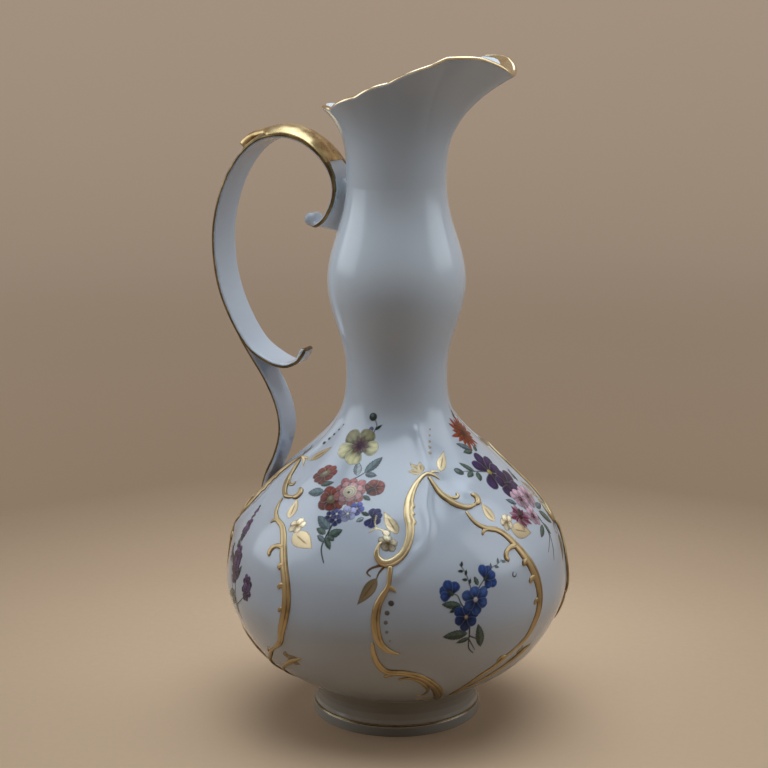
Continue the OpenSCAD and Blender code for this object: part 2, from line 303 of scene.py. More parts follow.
def relaxed(curve, spread):
    """The curve with each point at the bell-weighted mean of its neighbours. Beyond its ends the
    curve runs on turned half round, so the ends stay."""
    reach = 3 * spread
    weight = np.exp(-0.5 * (np.arange(-reach, reach + 1) / spread) ** 2)
    before = 2 * curve[0] - curve[reach:0:-1]
    after = 2 * curve[-1] - curve[-2:-reach - 2:-1]
    long = np.concatenate([before, curve, after])
    return np.stack([np.convolve(column, weight / weight.sum(), "valid") for column in long.T], axis=1)


def wave(t):
    """A half cosine that rises from 0 to 1 as t does."""
    return (1 - np.cos(np.pi * np.clip(t, 0, 1))) / 2


def between(low_z, low_r, high_z, high_r):
    """Heights and radii from one ring of the neck up to the next: the radius follows a half cosine."""
    rise = np.linspace(0, 1, 40)[1:]
    return np.stack([low_z + rise * (high_z - low_z), low_r + wave(rise) * (high_r - low_r)], axis=1)


bowl_knots = [[foot_h + s * (belly_z - foot_h), seat_r + t * (belly_r - seat_r)] for s, t in bowl_shape]
shoulder_knots = [[belly_z + s * (waist_z - belly_z), belly_r + t * (waist_r - belly_r)]
                  for s, t in shoulder_shape]
lower_neck = between(waist_z, waist_r, bulge_z, bulge_r)
upper_neck = between(bulge_z, bulge_r, collar_z, collar_r)
outline = np.concatenate([spline(bowl_knots + shoulder_knots), lower_neck, upper_neck])
outline = evened(relaxed(evened(outline, 0.5), 9), 1.6)
wall_z, wall_r = outline.T
wall_length = travelled(outline)

# centre lines of the applied scrolls, as degrees from the cartouche's middle and percent of the way
# from the foot up to the lower waist
scroll_lines = {
    "crest": [[-6, 72], [-3, 69.5], [0, 67.5], [4.5, 66], [9, 65], [13, 65], [15.5, 66], [12, 67.5]],
    "s_scroll": [[-1, 73.5], [-7, 73.5], [-13, 71], [-17, 68], [-18.5, 64], [-18, 60.5], [-19, 57.5],
                 [-21, 54.5], [-25, 52.5], [-28.5, 53], [-30, 55], [-28.5, 57.5]],
    "border": [[8, 63], [9.5, 60.5], [12.5, 58.5], [16, 57.5], [20, 55.5], [23.5, 53], [26.5, 50],
               [29, 45.5], [29.5, 40.5], [29, 35.5], [27.5, 30], [25.5, 25.5], [22.5, 22], [17.5, 19]],
    "c_scroll": [[-25.5, 49.5], [-26.5, 46], [-29, 41], [-29.8, 36], [-29, 31], [-26.5, 27], [-22.5, 26]],
    "base": [[-31, 26], [-29.5, 22], [-25.5, 19], [-19.5, 18.5], [-13.5, 16], [-8, 12.5], [-2.5, 8]],
    "base_right": [[15.5, 17.5], [11.5, 15], [7.5, 12.5], [4, 9.5], [0.5, 6.5]],
}
# centre line of the soft rib that is moulded in the wall beside each S scroll, measured in the same way
rib_line = [[-4, 84], [-4, 79], [-5, 75], [-8, 70], [-10.5, 65.5], [-10.5, 61], [-13, 56.5],
            [-18, 53], [-23, 49]]


def on_outline(line):
    """A scroll's line as degrees and heights."""
    line = np.asarray(line, float)
    return np.stack([line[:, 0], foot_h + line[:, 1] / 100 * (waist_z - foot_h)], axis=1)


def swelling(degrees, heights, lines, high, wide):
    """How far the wall swells out: a bell curve of the distance to the nearest of the lines, measured
    along the wall, in each quarter of the belly alike."""
    lines = np.concatenate([spline(on_outline(line), 6) for line in lines])
    radius = np.interp(heights, wall_z, wall_r)
    length = np.interp(heights, wall_z, wall_length)
    across = (degrees % 90 - 45)[:, None, None] - lines[:, 0]
    up = length[None, :, None] - np.interp(lines[:, 1], wall_z, wall_length)
    away = np.hypot(np.radians(across) * radius[None, :, None], up).min(axis=-1)
    return high * np.exp(-((away / wide) ** 2)).T


def slopes(points):
    """Unit normals of a grid of points that closes round its columns: the cross product of the
    directions along a row and up a column."""
    along_row = np.roll(points, -1, axis=1) - np.roll(points, 1, axis=1)
    normal = np.cross(along_row, np.gradient(points, axis=0))
    return normal / np.linalg.norm(normal, axis=-1, keepdims=True)


plain_wall = turned(outline[:, ::-1])
plain_slope = slopes(plain_wall)
quarter_turn = np.arange(90.0)
swell = swelling(quarter_turn, wall_z, scroll_lines.values(), swell_high, swell_wide)
swell += swelling(quarter_turn, wall_z, [rib_line], rib_high, rib_wide)
swell = np.tile(swell, 4)
wall_points = plain_wall + swell[..., None] * plain_slope
wall_slope = slopes(wall_points)
inner_points = plain_wall - wall * plain_slope
top = int(np.argmin(np.abs(wall_z - joint_z)))

base_profile = np.array([[0, recess_z], [12, recess_z], [32.6, recess_z], [recess_r, 16.4],
                         [recess_r, foot_h], [seat_r, foot_h]])
base_points = turned(base_profile)
base_slope = np.zeros_like(base_points)
base_slope[:3, :, 2] = -1
base_slope[3:] = plain_slope[0]
floor_z = float(inner_points[0, 0, 2])
floor_profile = np.array([[30.0, floor_z], [15, floor_z], [0, floor_z]])
floor_points = turned(floor_profile)
floor_slope = np.zeros_like(floor_points)
floor_slope[..., 2] = 1
belly_points = np.concatenate([base_points, wall_points[:top + 1], inner_points[top:1:-1], floor_points])
belly_slope = np.concatenate([base_slope, wall_slope[:top + 1], -plain_slope[top:1:-1], floor_slope])
belly = cast("belly_thrown", belly_points, facing=belly_slope, poles=(0, -1))
placed(belly, glazed_porcelain("glazed_belly"), "belly")


# Neck: a slim porcelain neck thrown with a bulge between two waists, and joined to the belly high
# on the shoulder with slip, so that one glaze covers the joint.
neck_points = np.concatenate([wall_points[top:], inner_points[:top - 1:-1]])
neck_slope = np.concatenate([wall_slope[top:], -plain_slope[:top - 1:-1]])
neck = cast("neck_thrown", neck_points, facing=neck_slope, along=True)
placed(neck, glazed_porcelain("glazed_neck"), "neck")


# Spout lip: a flaring porcelain lip drawn out into a broad spout, higher there than at the back,
# with a rim pressed into twelve shallow lobes whose flutes fade downwards. Its edge is gilded.
spout_x = 56.0
back_x = 34.5
side_y = 29.5
peak_z = 316.0
back_z = 293.5
tip_dip = 7.5
lobes = 12
lobe_h = 0.8
rim_t = 2.4
rim_gilt = 1.1
tip_gilt_deep = 7.0
tip_gilt_wide = 26.0


def lip_surface(degrees, share):
    """The outside of the lip: round each angle the radius grows from the collar to the rim with the
    height's share to the power of the flare, which is gentler towards the spout than at the back.
    The rim's reach, height and lobes follow the angle."""
    a = np.radians(degrees)
    flare = 2.9 + 0.9 * wave(np.abs(degrees) / 180) ** 2
    forward = np.maximum(0, np.cos(a))
    fold = np.sqrt(np.cos(a * lobes / 2) ** 2 + 0.02) - 0.65
    reach = side_y + (back_x - side_y) * wave(np.abs(degrees) / 180) ** 2 + (spout_x - side_y) * forward**3
    climb = np.clip((reach * np.cos(a) + collar_r) / (spout_x + 2), 0, 1)
    rim = back_z + climb * (peak_z - back_z) - tip_dip * forward**45 + lobe_h * fold - 0.85 * rim_t
    s = share[:, None]
    radius = collar_r + (reach - collar_r) * s**flare + lobe_h * fold * s**4
    height = collar_z + (rim - collar_z) * s
    return np.stack([radius * np.cos(a), radius * np.sin(a), height], axis=-1)


lip_angles = (np.arange(360) + 180) % 360 - 180.0
lip_share = np.linspace(0, 1, 56)
lip_points = lip_surface(lip_angles, lip_share)
lip_slope = slopes(lip_points)
lip_slope[0] = wall_slope[-1]
thick = (wall + (rim_t - wall) * lip_share)[:, None, None]
lip_inside = lip_points - thick * lip_slope
upward = np.cross(lip_slope[-1], np.roll(lip_points[-1], -1, axis=0) - np.roll(lip_points[-1], 1, axis=0))
upward /= np.linalg.norm(upward, axis=-1, keepdims=True)
bend = np.radians(np.linspace(0, 180, 13))[1:-1, None, None]
rim_slope = np.cos(bend) * lip_slope[-1] + np.sin(bend) * upward
rim_points = (lip_points[-1] + lip_inside[-1]) / 2 + rim_t / 2 * rim_slope
spout_points = np.concatenate([lip_points, rim_points, lip_inside[::-1]])
spout_slope = np.concatenate([lip_slope, rim_slope, -lip_slope[::-1]])
crest_row = len(rim_points) // 2
from_rim = np.linalg.norm(spout_points - rim_points[crest_row], axis=-1)
tip_gilt = tip_gilt_deep * np.exp(-(lip_angles / tip_gilt_wide) ** 2)
inside_row = np.arange(len(spout_points)) > len(lip_points) + crest_row
rim_gold = rim_gilt - from_rim + np.where(inside_row[:, None], tip_gilt, 0)


def rim_line(place, grain):
    """Gold where the piece's own layer is above zero, with a slightly unsteady brush edge."""
    return (place.layer("gilded") + (grain - 0.5) * 0.5).step(-0.08, 0.08)


spout_lip = cast("spout_lip_fluted", spout_points, facing=spout_slope, along=True, gilded=rim_gold)
# The rim's gold is painted pale cream: a painted highlight from the lamp overhead.
rim_tones_painted_highlight = (rgb(240, 224, 186), rgb(204, 176, 126))
placed(spout_lip, glazed_porcelain("glazed_lip", rim_line, rim_tones_painted_highlight), "spout_lip")


# Handle scroll: a broad C of porcelain strap with a rounded back, rolled into a beaded volute beside
# the neck and into a small hook below. It is pressed in a mould, and both of its edges are gilded.
strap_w = 22.0
strap_t = 2.2
bead_t = 3.9
bead_long = 3.5
hook_t = 0.8
crown = 2.45
gilt_from_back = 1.15
gilt_half = 0.95
crest_past = 0.7
saddle_from, saddle_to = 12, 35
scroll_steps = 76
cap_rows = 8
scroll_reach = 65.0
scroll_tall = 113.0
scroll_low = 167.0
scroll_side = -27.0
scroll_shape = [[0.25, 0.614], [0.175, 0.609], [0.075, 0.655], [0, 0.745], [0.01, 0.835], [0.1, 0.915],
                [0.24, 0.975], [0.415, 1], [0.6, 0.98], [0.755, 0.915], [0.885, 0.805], [0.97, 0.67],
                [1, 0.53], [0.97, 0.365], [0.88, 0.22], [0.74, 0.09], [0.585, 0.025], [0.445, 0],
                [0.345, 0.02], [0.29, 0.065]]


def scroll_at(shape):
    """Points of the handle's outer edge line in the upright plane, from shares of its reach and height."""
    shape = np.asarray(shape, float)
    x = scroll_side - scroll_reach * shape[..., 0]
    return np.stack([x, scroll_low + scroll_tall * shape[..., 1]], axis=-1)


def ramp(low, high, x):
    """A soft step from 0 at low to 1 at high."""
    return wave((x - low) / (high - low))


def headings(path):
    """Unit directions along a path."""
    tangent = np.gradient(path, axis=0)
    return tangent / np.linalg.norm(tangent, axis=1, keepdims=True)


def strap(path, width, thick, back):
    """A strap carried along a path in the upright plane. Its section has a rounded back, a flat inner
    face and half-round edges, and both ends are rounded over like the edges. Also gives how far each
    point lies, round the section, from the middle of the gold line on the edge, and 1 on the back."""
    tangent = headings(path)
    q = np.linspace(0, np.pi / 2, cap_rows + 1)[1:]
    lead = path[0] - np.sin(q[::-1])[:, None] * thick[0] / 2 * tangent[0]
    tail = path[-1] + np.sin(q)[:, None] * thick[-1] / 2 * tangent[-1]
    shrink = np.concatenate([np.cos(q[::-1]), np.ones(len(path)), np.cos(q)])[:, None]
    shrink[[0, -1]] = 0
    path = np.concatenate([lead, path, tail])
    tangent = np.pad(tangent, ((cap_rows, cap_rows), (0, 0)), mode="edge")
    width, thick, back = [np.pad(values, cap_rows, mode="edge")[:, None] for values in (width, thick, back)]
    edge = thick / 2
    reach = width / 2 - edge
    s = np.linspace(-1, 1, 19)[None, :]
    turn = np.radians(np.linspace(90, -90, 11))[None, 1:-1]
    edge_y = reach + shrink * edge * np.cos(turn)
    edge_n = -edge + shrink * edge * np.sin(turn)
    y = np.concatenate([s * reach, edge_y, -s * reach, -edge_y[:, ::-1]], axis=1)
    rear_n = -edge + shrink * (edge + back * (1 - s**2))
    face_n = -edge - shrink * edge + 0 * s
    n = np.concatenate([rear_n, edge_n, face_n, edge_n[:, ::-1]], axis=1)
    normal = np.stack([tangent[:, 1], -tangent[:, 0]], axis=1)
    points = np.stack([path[:, :1] + normal[:, :1] * n, y, path[:, 1:] + normal[:, 1:] * n], axis=-1)
    inward = reach * (1 - np.abs(s))
    round_edge = edge * (np.pi / 2 - turn)
    apart = np.concatenate([-inward, round_edge, edge * np.pi + inward, round_edge[:, ::-1]], axis=1)
    apart = np.abs(apart - gilt_from_back)
    rear = np.concatenate([np.ones_like(rear_n), 0 * edge_n, 0 * face_n, 0 * edge_n], axis=1)
    return points[:, ::-1], apart[:, ::-1], rear[:, ::-1]


def scroll_back(i):
    """Rise of the strap's rounded back at step i: flat against the web and against the leg."""
    ends = 1 - ramp(0, 4, i) + ramp(71, scroll_steps, i)
    return crown * ramp(20, 28, i) * (1 - ramp(46, 54, i)) + 0.5 * ends


scroll_path = spline(scroll_at(scroll_shape), 12)
step = np.linspace(0, scroll_steps, len(scroll_path))
along = travelled(scroll_path)
scroll_width = strap_w * (1 - 0.45 * (1 - ramp(0, 16, step)) - 0.5 * ramp(62, scroll_steps, step))
bead = bead_t * np.exp(-((along / bead_long) ** 2))
scroll_thick = strap_t + bead + hook_t * ramp(72, scroll_steps, step)
strap_points, strap_rim, strap_rear = strap(scroll_path, scroll_width, scroll_thick, scroll_back(step))

# gold lies along both edges, on the crest of the hook's end, and as a saddle over the top of the back
edge_line = gilt_half - strap_rim
from_hook = np.pad(along[-1] - along, cap_rows, mode="linear_ramp", end_values=(along[-1], -1.5))[:, None]
hook_crest = -crest_past - from_hook
at_step = np.pad(step, cap_rows, mode="edge")[:, None]
start = saddle_from + np.clip(2.2 * (strap_rim - gilt_from_back), 0, 8)
saddle = 6 * (ramp(start, start + 1.5, at_step) - ramp(saddle_to, saddle_to + 1, at_step)) - 3
strap_gold = np.maximum(np.maximum(edge_line, hook_crest), np.where(strap_rear == 1, saddle, -3))
handle_scroll = cast("handle_scroll_moulded", strap_points, poles=(0, -1), gilded=strap_gold)
# The edges' gold on the C and on the leg is painted dark olive: a painted dark reflection.
edge_tones_painted_dark = (rgb(146, 130, 92), rgb(58, 50, 32))
strap_glaze = (rgb(214, 222, 234), rgb(222, 229, 238))
scroll_finish = glazed_porcelain("glazed_scroll", rim_line, edge_tones_painted_dark, strap_glaze)
placed(handle_scroll, scroll_finish, "handle_scroll")


# Handle leg: a porcelain strap that leaves the back of the C and bends in an S down to the shoulder
# of the belly, where it is luted on with slip. Its edges are gilded like those of the C.
leg_w = 17.0
leg_t = 2.5
leg_bow = 0.19
leg_steps = 36
leg_inset = 13.0
leg_rise = 34.0
leg_shape = [[0, 0], [0.11, 0.18], [0.21, 0.43], [0.315, 0.71], [0.435, 0.93], [0.54, 1], [0.64, 0.92],
             [0.75, 0.67], [0.88, 0.26], [1, 0]]
leg_start = scroll_at([0.87, 0.195])
leg_end = np.array([leg_inset - belly_r, belly_z + leg_rise])
leg_bulge = leg_bow * (leg_start[1] - leg_end[1])
leg_path = spline([leg_start + (leg_end - leg_start) * s + [leg_bulge * b, 0] for s, b in leg_shape], 14)
step = np.linspace(0, leg_steps, len(leg_path))
leg_width = leg_w * (1 + 0.12 * ramp(26, leg_steps, step))
leg_thick = leg_t * (1 + 0.5 * ramp(30, leg_steps, step))
leg_points, leg_rim, _ = strap(leg_path, leg_width, leg_thick, 0.6 * crown * ramp(4, 14, step))
handle_leg = cast("handle_leg_moulded", leg_points, poles=(0, -1), gilded=gilt_half - leg_rim)
leg_finish = glazed_porcelain("glazed_leg", rim_line, edge_tones_painted_dark, strap_glaze)
placed(handle_leg, leg_finish, "handle_leg")


# Handle bracket: a small solid web of porcelain slip between the volute and the neck. It holds the
# top of the handle and is glazed over with the rest.
web_w = 12.0
web_low = 233.5
web_tall = 23.5
web_sunk = 1.5
web_past = 0.8


def web(share, turn):
    """A short tube from the volute's outer edge to the neck. Its section is a flat oval that follows
    both edges, thinner halfway across and wider where it meets the strap and the neck."""
    edge = evened(spline(scroll_at(scroll_shape), 4)[4:19], 1.0)
    up = 0.5 - 0.5 * np.cos(turn)
    at = np.linspace(0, 1, len(edge))
    near = np.stack([np.interp(up, at, column) for column in edge.T], axis=-1)
    far_z = web_low + web_tall * up
    far = np.stack([web_sunk - np.interp(far_z, wall_z, wall_r), far_z], axis=-1)
    near = near - [web_past, 0]
    s = share[:, None, None]
    line = near * (1 - s) + far * s
    line[..., 1] -= 3 * (up * np.sin(np.pi * share)[:, None])
    half = web_w / 2 * (0.72 + 0.5 * (2 * share - 1) ** 2)[:, None] * (1 - 0.35 * up**3)
    across = half * np.sign(np.sin(turn)) * np.abs(np.sin(turn)) ** 0.5
    return np.stack([line[..., 0], across, line[..., 1]], axis=-1)


web_points = web(np.linspace(0, 1, 15), np.linspace(0, 2 * np.pi, 72, endpoint=False))
handle_bracket = cast("handle_bracket_web", web_points[::-1])
placed(handle_bracket, glazed_porcelain("glazed_web"), "handle_bracket")


# Thumb leaf: a leaf in low relief laid over the crown of the handle, as wide as the strap above the
# volute and pointed on top. It is pressed in a sprig mould, luted on and gilded all over.
leaf_t = 1.4
leaf_first, leaf_last = 18.5, 36


def burnished_gold(name, light, dark, dull):
    """Fired gold, light on the high places and dark in the hollows as painted shade, with fine burnishing
    marks. Dull is its roughness."""
    material, shader, place = begin(name)
    high = place.layer("high")
    patch = place.noise(160.0).step(0.3, 0.75)
    tone = (high * 0.95 + (patch - 0.5) * 0.6).step(0.0, 0.8)
    tone.mixed(dark, light).feed(shader, "Base Color")
    (dull - high * 0.06 + patch * 0.1).feed(shader, "Roughness")
    place.noise(900.0, 2.0).emboss(shader, 0.12, 0.0003)
    shader.inputs["Metallic"].default_value = 1.0
    return material


def leaf_over(path, first, last):
    """The leaf on the strap's back: as wide as the strap up to a notch, then a narrow tongue that lifts
    off the strap. It is as thick as an arch, with a rib and slanting veins raised on it."""
    count = 90
    t = np.linspace(0, 1, count)[:, None]
    s = np.linspace(-1, 1, 25)[None, :]
    index = first + (last - first) * t
    at = np.linspace(0, scroll_steps, len(path))
    line = np.stack([np.interp(index[:, 0], at, column) for column in path.T], axis=1)
    tangent = headings(line)
    normal = np.stack([tangent[:, 1], -tangent[:, 0]], axis=1)
    half = strap_w * (0.49 - 0.22 * ramp(0.68, 0.76, t) - 0.17 * ramp(0.76, 1, t))
    y = s * half
    back = scroll_back(index) * (1 - (2 * y / strap_w) ** 2)
    veins = np.maximum(0, np.cos(16 * (np.abs(s) * 0.6 + t * 3.0))) * (1 - s**2)
    rib = np.exp(-((s / 0.12) ** 2)) + 0.15 * veins
    arch = np.clip(5 * t, 0, 1) * np.clip(6 * (1 - t), 0, 1)
    lift = 3.0 * ramp(0.7, 1, t)
    out = back + lift + (0.9 * leaf_t * (1 - s**4) + 0.2 * rib) * (0.3 + 0.7 * arch)
    out = np.where(np.abs(s) == 1, back + 0.6 * lift - 0.2, out)
    under = back[:, ::-6] - 0.4 + 0 * lift
    out = np.concatenate([out, under], axis=1)
    y = np.concatenate([y, y[:, ::-6]], axis=1)
    # Painted shade: the gold is lighter along the rib and dark on the rows underneath.
    high = np.concatenate([0.45 + 0.4 * np.clip(rib + 0 * t, 0, 1), np.zeros((count, 5))], axis=1)
    points = np.stack([line[:, :1] + normal[:, :1] * out, y, line[:, 1:] + normal[:, 1:] * out], axis=-1)
    ends = points.mean(axis=1, keepdims=True) + 0 * points
    points = np.concatenate([ends[:1], points, ends[-1:]])
    high = np.concatenate([high[:1], high, high[-1:]])
    return points[:, ::-1], high[:, ::-1]


leaf_points, leaf_high = leaf_over(scroll_path, leaf_first, leaf_last)
thumb_leaf = cast("thumb_leaf_gilt", leaf_points, poles=(0, -1), high=leaf_high)
# The thumb leaf's gold is a lighter copy of the scrolls' gold: a painted highlight.
leaf_gold_painted_highlight = burnished_gold("gilt_leaf", rgb(240, 216, 164), rgb(132, 106, 62), 0.27)
placed(thumb_leaf, leaf_gold_painted_highlight, "thumb_leaf")


# Applied scrolls: four cartouches of scrolls in relief, each made of a crest, an S scroll, a leafy
# border, a C scroll and a base. They are rolled slips of porcelain, luted on, fired and gilded.
quarters = {"right_front": -45, "left_front": 45, "left_rear": 135, "right_rear": -135}


def on_wall(degrees, heights, lift):
    """Points on the outside of the wall, moved out by lift along its normal: the wall's own grid,
    read between its points along both directions."""
    row = np.interp(heights, wall_z, np.arange(len(wall_z)))
    i = np.clip(row.astype(int), 0, len(wall_z) - 2)
    j = np.floor(degrees).astype(int)
    t = (row - i)[..., None]
    s = (degrees - j)[..., None]
    j, k = j % 360, (j + 1) % 360
    place = [grid[i, j] * (1 - t) * (1 - s) + grid[i, k] * (1 - t) * s + grid[i + 1, j] * t * (1 - s)
             + grid[i + 1, k] * t * s for grid in (wall_points, wall_slope)]
    return place[0] + np.asarray(lift)[..., None] * place[1]


def relief(line, widths, high=1.0, teeth=()):
    """A scroll on the belly along a line of degrees and heights. Its width runs through the given widths
    at even distances, and each tooth adds a slanted bump of so many mm to one side. Its section is a flat
    ridge with rounded shoulders and an engraved line."""
    line = evened(spline(line, 10), 0.5)
    stretch = np.interp(line[:, 1], wall_z[:-1], np.diff(wall_length) / np.diff(wall_z))
    scale = np.stack([np.radians(np.interp(line[:, 1], wall_z, wall_r)), stretch], axis=1)
    heading = np.gradient(line, axis=0) * scale
    speed = np.linalg.norm(heading, axis=1, keepdims=True)
    heading /= speed
    length = np.cumsum(speed[:, 0])
    q = (length - length[0]) / (length[-1] - length[0])
    knots = spline(np.array(widths, float)[:, None], 10)[:, 0]
    width = np.interp(q, np.linspace(0, 1, len(knots)), knots)
    ends = np.minimum(length - length[0], length[-1] - length)
    round_off = np.sqrt(np.clip(1 - (1 - np.clip(ends, 0, 1)) ** 2, 0, 1))
    c = np.linspace(-1, 1, 17)[None, :]
    half = np.repeat((width * round_off / 2)[:, None], c.size, axis=1)
    for where, size in teeth:
        ahead = (q - where) * (length[-1] - length[0]) / abs(size)
        bump = np.exp(-((ahead / np.where(ahead > 0, 0.5, 1.4)) ** 2))
        half += np.where(c * size > 0, abs(size) * bump[:, None], 0)
    body = np.clip(width / 2.4, 0.45, 1)[:, None]
    ridge = (1 - np.abs(c) ** 3) ** 0.6
    groove = 0.3 * np.exp(-(((c - 0.3) / 0.14) ** 2)) * np.clip(width / 2 - 1, 0, 1)[:, None]
    lift = high * (round_off[:, None] * body) * (ridge - groove)
    lift[:, [0, -1]] = -0.2
    offset = c * half
    offset = np.concatenate([offset, offset[:, [12, 8, 4]]], axis=1)
    lift = np.concatenate([lift, np.full((len(line), 3), -0.35)], axis=1)
    degrees = line[:, :1] - offset * heading[:, 1:] / scale[:, :1]
    heights = line[:, 1:] + offset * heading[:, :1] / scale[:, 1:]
    # Painted shade: the gold is lighter on the ridge and darker in the engraved line and along the edges.
    bright = 0.15 + 0.85 * ridge - 2.2 * groove
    bright = np.concatenate([bright, np.zeros((len(line), 3))], axis=1)
    return degrees, heights, lift, bright


def joined(name, parts, turn):
    """One piece from several reliefs, turned to its quarter of the belly."""
    made = []
    for degrees, heights, lift, bright in parts:
        points = on_wall(degrees + turn, heights, lift)
        made.append(cast(name, points[:, ::-1], poles=(0, -1), high=bright[:, ::-1]))
    first = made[0]
    whole = bmesh.new()
    for piece in made:
        whole.from_mesh(piece.data)
    whole.to_mesh(first.data)
    whole.free()
    for piece in made[1:]:
        bpy.data.meshes.remove(piece.data)
    first.data.shade_smooth()
    return first


scroll_reliefs = {
    "crest": [
        relief([[-5.8, 128], [-3.5, 124.3], [-1.3, 121.2], [1.5, 118.8], [4.2, 117], [7.9, 115.5],
                [11, 115.5], [14.5, 116.2]], [1.6, 2.4, 3.2, 3.4, 3.0, 2.2, 1.4]),
        relief([[13, 115.7], [15.8, 116.8], [16, 118.6], [13.6, 119.8]], [1.4, 3.2, 3.2, 1.4], 0.9),
        relief([[-2.6, 123], [0.9, 120.8], [4.4, 119.4], [7, 120], [6.4, 121.3]],
               [1.0, 1.4, 1.4, 1.8, 1.4], 0.8)],
    "s_scroll": [
        relief([[1, 126.6], [-2.2, 128.3], [-7, 128.6], [-12.8, 125.8], [-16.8, 121], [-18.3, 115.5],
                [-17.9, 110.2], [-18.8, 105.3], [-21, 100.6], [-24.7, 97.3], [-28, 97], [-30.1, 99.6],
                [-30, 102.6], [-28.8, 105]],
               [0.8, 1.8, 2.4, 3.2, 4.2, 4.6, 4.2, 3.8, 3.8, 4.2, 3.6, 2.4, 1.2], 0.9,
               [(0.37, 1.1), (0.43, 1.1), (0.49, 1.3)]),
        relief([[-5.5, 128.3], [-1.4, 129.6], [2.2, 129]], [0.8, 1.3, 0.7], 0.7)],
    "border": [
        relief([[7.3, 114.4], [8.2, 111.4], [10.2, 108.6], [13.5, 106.6], [17.6, 105.2], [20.6, 102.4],
                [23.2, 98], [25.8, 92], [27.9, 86], [29.2, 80], [29.6, 74], [28.8, 67.5], [27.2, 61.5],
                [24.9, 54.5], [20, 49.6]],
               [1.4, 2.2, 2.6, 3.2, 4.0, 4.6, 5.0, 5.4, 5.2, 5.0, 4.6, 3.8, 2.8, 1.4], 0.7),
        relief([[15, 106.4], [12, 106.2], [10.2, 104.4]], [2.4, 2.0, 1.2], 0.7),
        relief([[23.8, 97.6], [20.6, 97.6], [18.2, 96.4], [17.2, 94], [18.4, 92.8]],
               [3.2, 2.6, 2.2, 2.8, 2.0], 0.8),
        relief([[26.8, 91], [24.8, 90.4], [23.8, 88.6]], [3.2, 3.0, 2.4], 0.75),
        relief([[28.6, 82.8], [26.4, 82.4], [25.2, 80.4]], [2.8, 2.6, 2.0], 0.7),
        relief([[28.8, 72.4], [27.2, 71.8], [26.2, 70]], [2.2, 2.0, 1.2], 0.6)],
    "c_scroll": [
        relief([[-25.4, 96], [-25.9, 88], [-27.9, 83.2], [-29.3, 78.5], [-29.8, 71.8], [-28.8, 64],
                [-26.3, 59.2], [-22.1, 56.8]], [2.6, 2.2, 2.8, 3.8, 4.2, 4.0, 2.8, 1.0], 1.1),
        relief([[-26.3, 87.8], [-24.7, 86.9], [-23.4, 85.2]], [2.0, 1.8, 0.8], 0.9)],
    "base": [
        relief([[-30.7, 62.6], [-30.6, 57.4], [-29.4, 51.3], [-26.6, 46.9], [-20.7, 45.9], [-14.9, 43],
                [-9.3, 36.8], [-4.5, 28.6], [-1.4, 21.8]],
               [1.6, 2.8, 3.6, 4.0, 4.2, 4.4, 5.2, 4.8, 2.4], 0.95),
        relief([[-22, 46.4], [-25.5, 45], [-27.8, 43]], [2.4, 2.2, 1.4], 0.9),
        relief([[-22.8, 41.3], [-20.7, 42.4], [-18, 42.3], [-13.6, 38.6], [-10.6, 32.7], [-11.6, 28.6],
                [-14.8, 28]], [1.6, 1.6, 1.8, 2.2, 1.8, 1.2, 0.7], 0.8),
        relief([[-4, 23.4], [-8, 24], [-14, 23.4]], [1.4, 1.1, 0.6], 0.7),
        relief([[21.5, 50.6], [17.7, 47.3], [14.4, 43.3], [9.2, 38.4], [5, 32.2], [2.8, 25]],
               [1.4, 2.2, 2.2, 1.8, 1.4, 0.9], 0.9),
        relief([[32, 47.8], [27.5, 45], [22.9, 41.5], [16.4, 36.6], [9.6, 30.4], [4.8, 23.6]],
               [1.2, 2.8, 2.0, 1.8, 1.5, 0.9], 0.9),
        relief([[18.4, 47], [15.4, 47.4], [14.2, 45]], [2.0, 1.6, 0.8], 0.8)],
}
# The S scrolls take the lighter gold, the other scrolls a darker copy of it, which is painted shade.
bright_gold = burnished_gold("gilt_s_scroll", gold_light, gold_dark, 0.36)
shaded_scroll_gold = burnished_gold("gilt_scrolls", rgb(178, 158, 120), rgb(88, 70, 44), 0.38)
for quarter, turn in quarters.items():
    for part, strokes in scroll_reliefs.items():
        scroll = joined(f"{part}_{quarter}_gilt", strokes, turn)
        gold = bright_gold if part == "s_scroll" else shaded_scroll_gold
        placed(scroll, gold, f"{quarter}_{part}")


# Painted sprays: garden flowers in coloured enamels, brushed on over the glaze and fired again, with
# gilt leaves and pearls beside the scrolls. The colour lies on the glaze as a thin film.
leaf_green = (92, 108, 96)
leaf_blue = (108, 124, 128)
leaf_dark = (62, 74, 66)
pale_gold = (222, 202, 162)
brown_gold = (124, 94, 56)
no_lean = (1.0, 0.0)
film_lift = 0.06
brush_gap = 0.28
soft_edge = 0.3
bare_below = 0.02


def linear(colour):
    """A colour from 0 to 255 as the eye sees it, made linear."""
    return (np.clip(np.asarray(colour, float), 0, 255) / 255) ** 2.2


def paler(colour, share):
    """The colour thinned towards white."""
    return np.asarray(colour, float) * (1 - share) + 248 * share


def deeper(colour, share):
    """The colour thickened towards black."""
    return np.asarray(colour, float) * (1 - share)


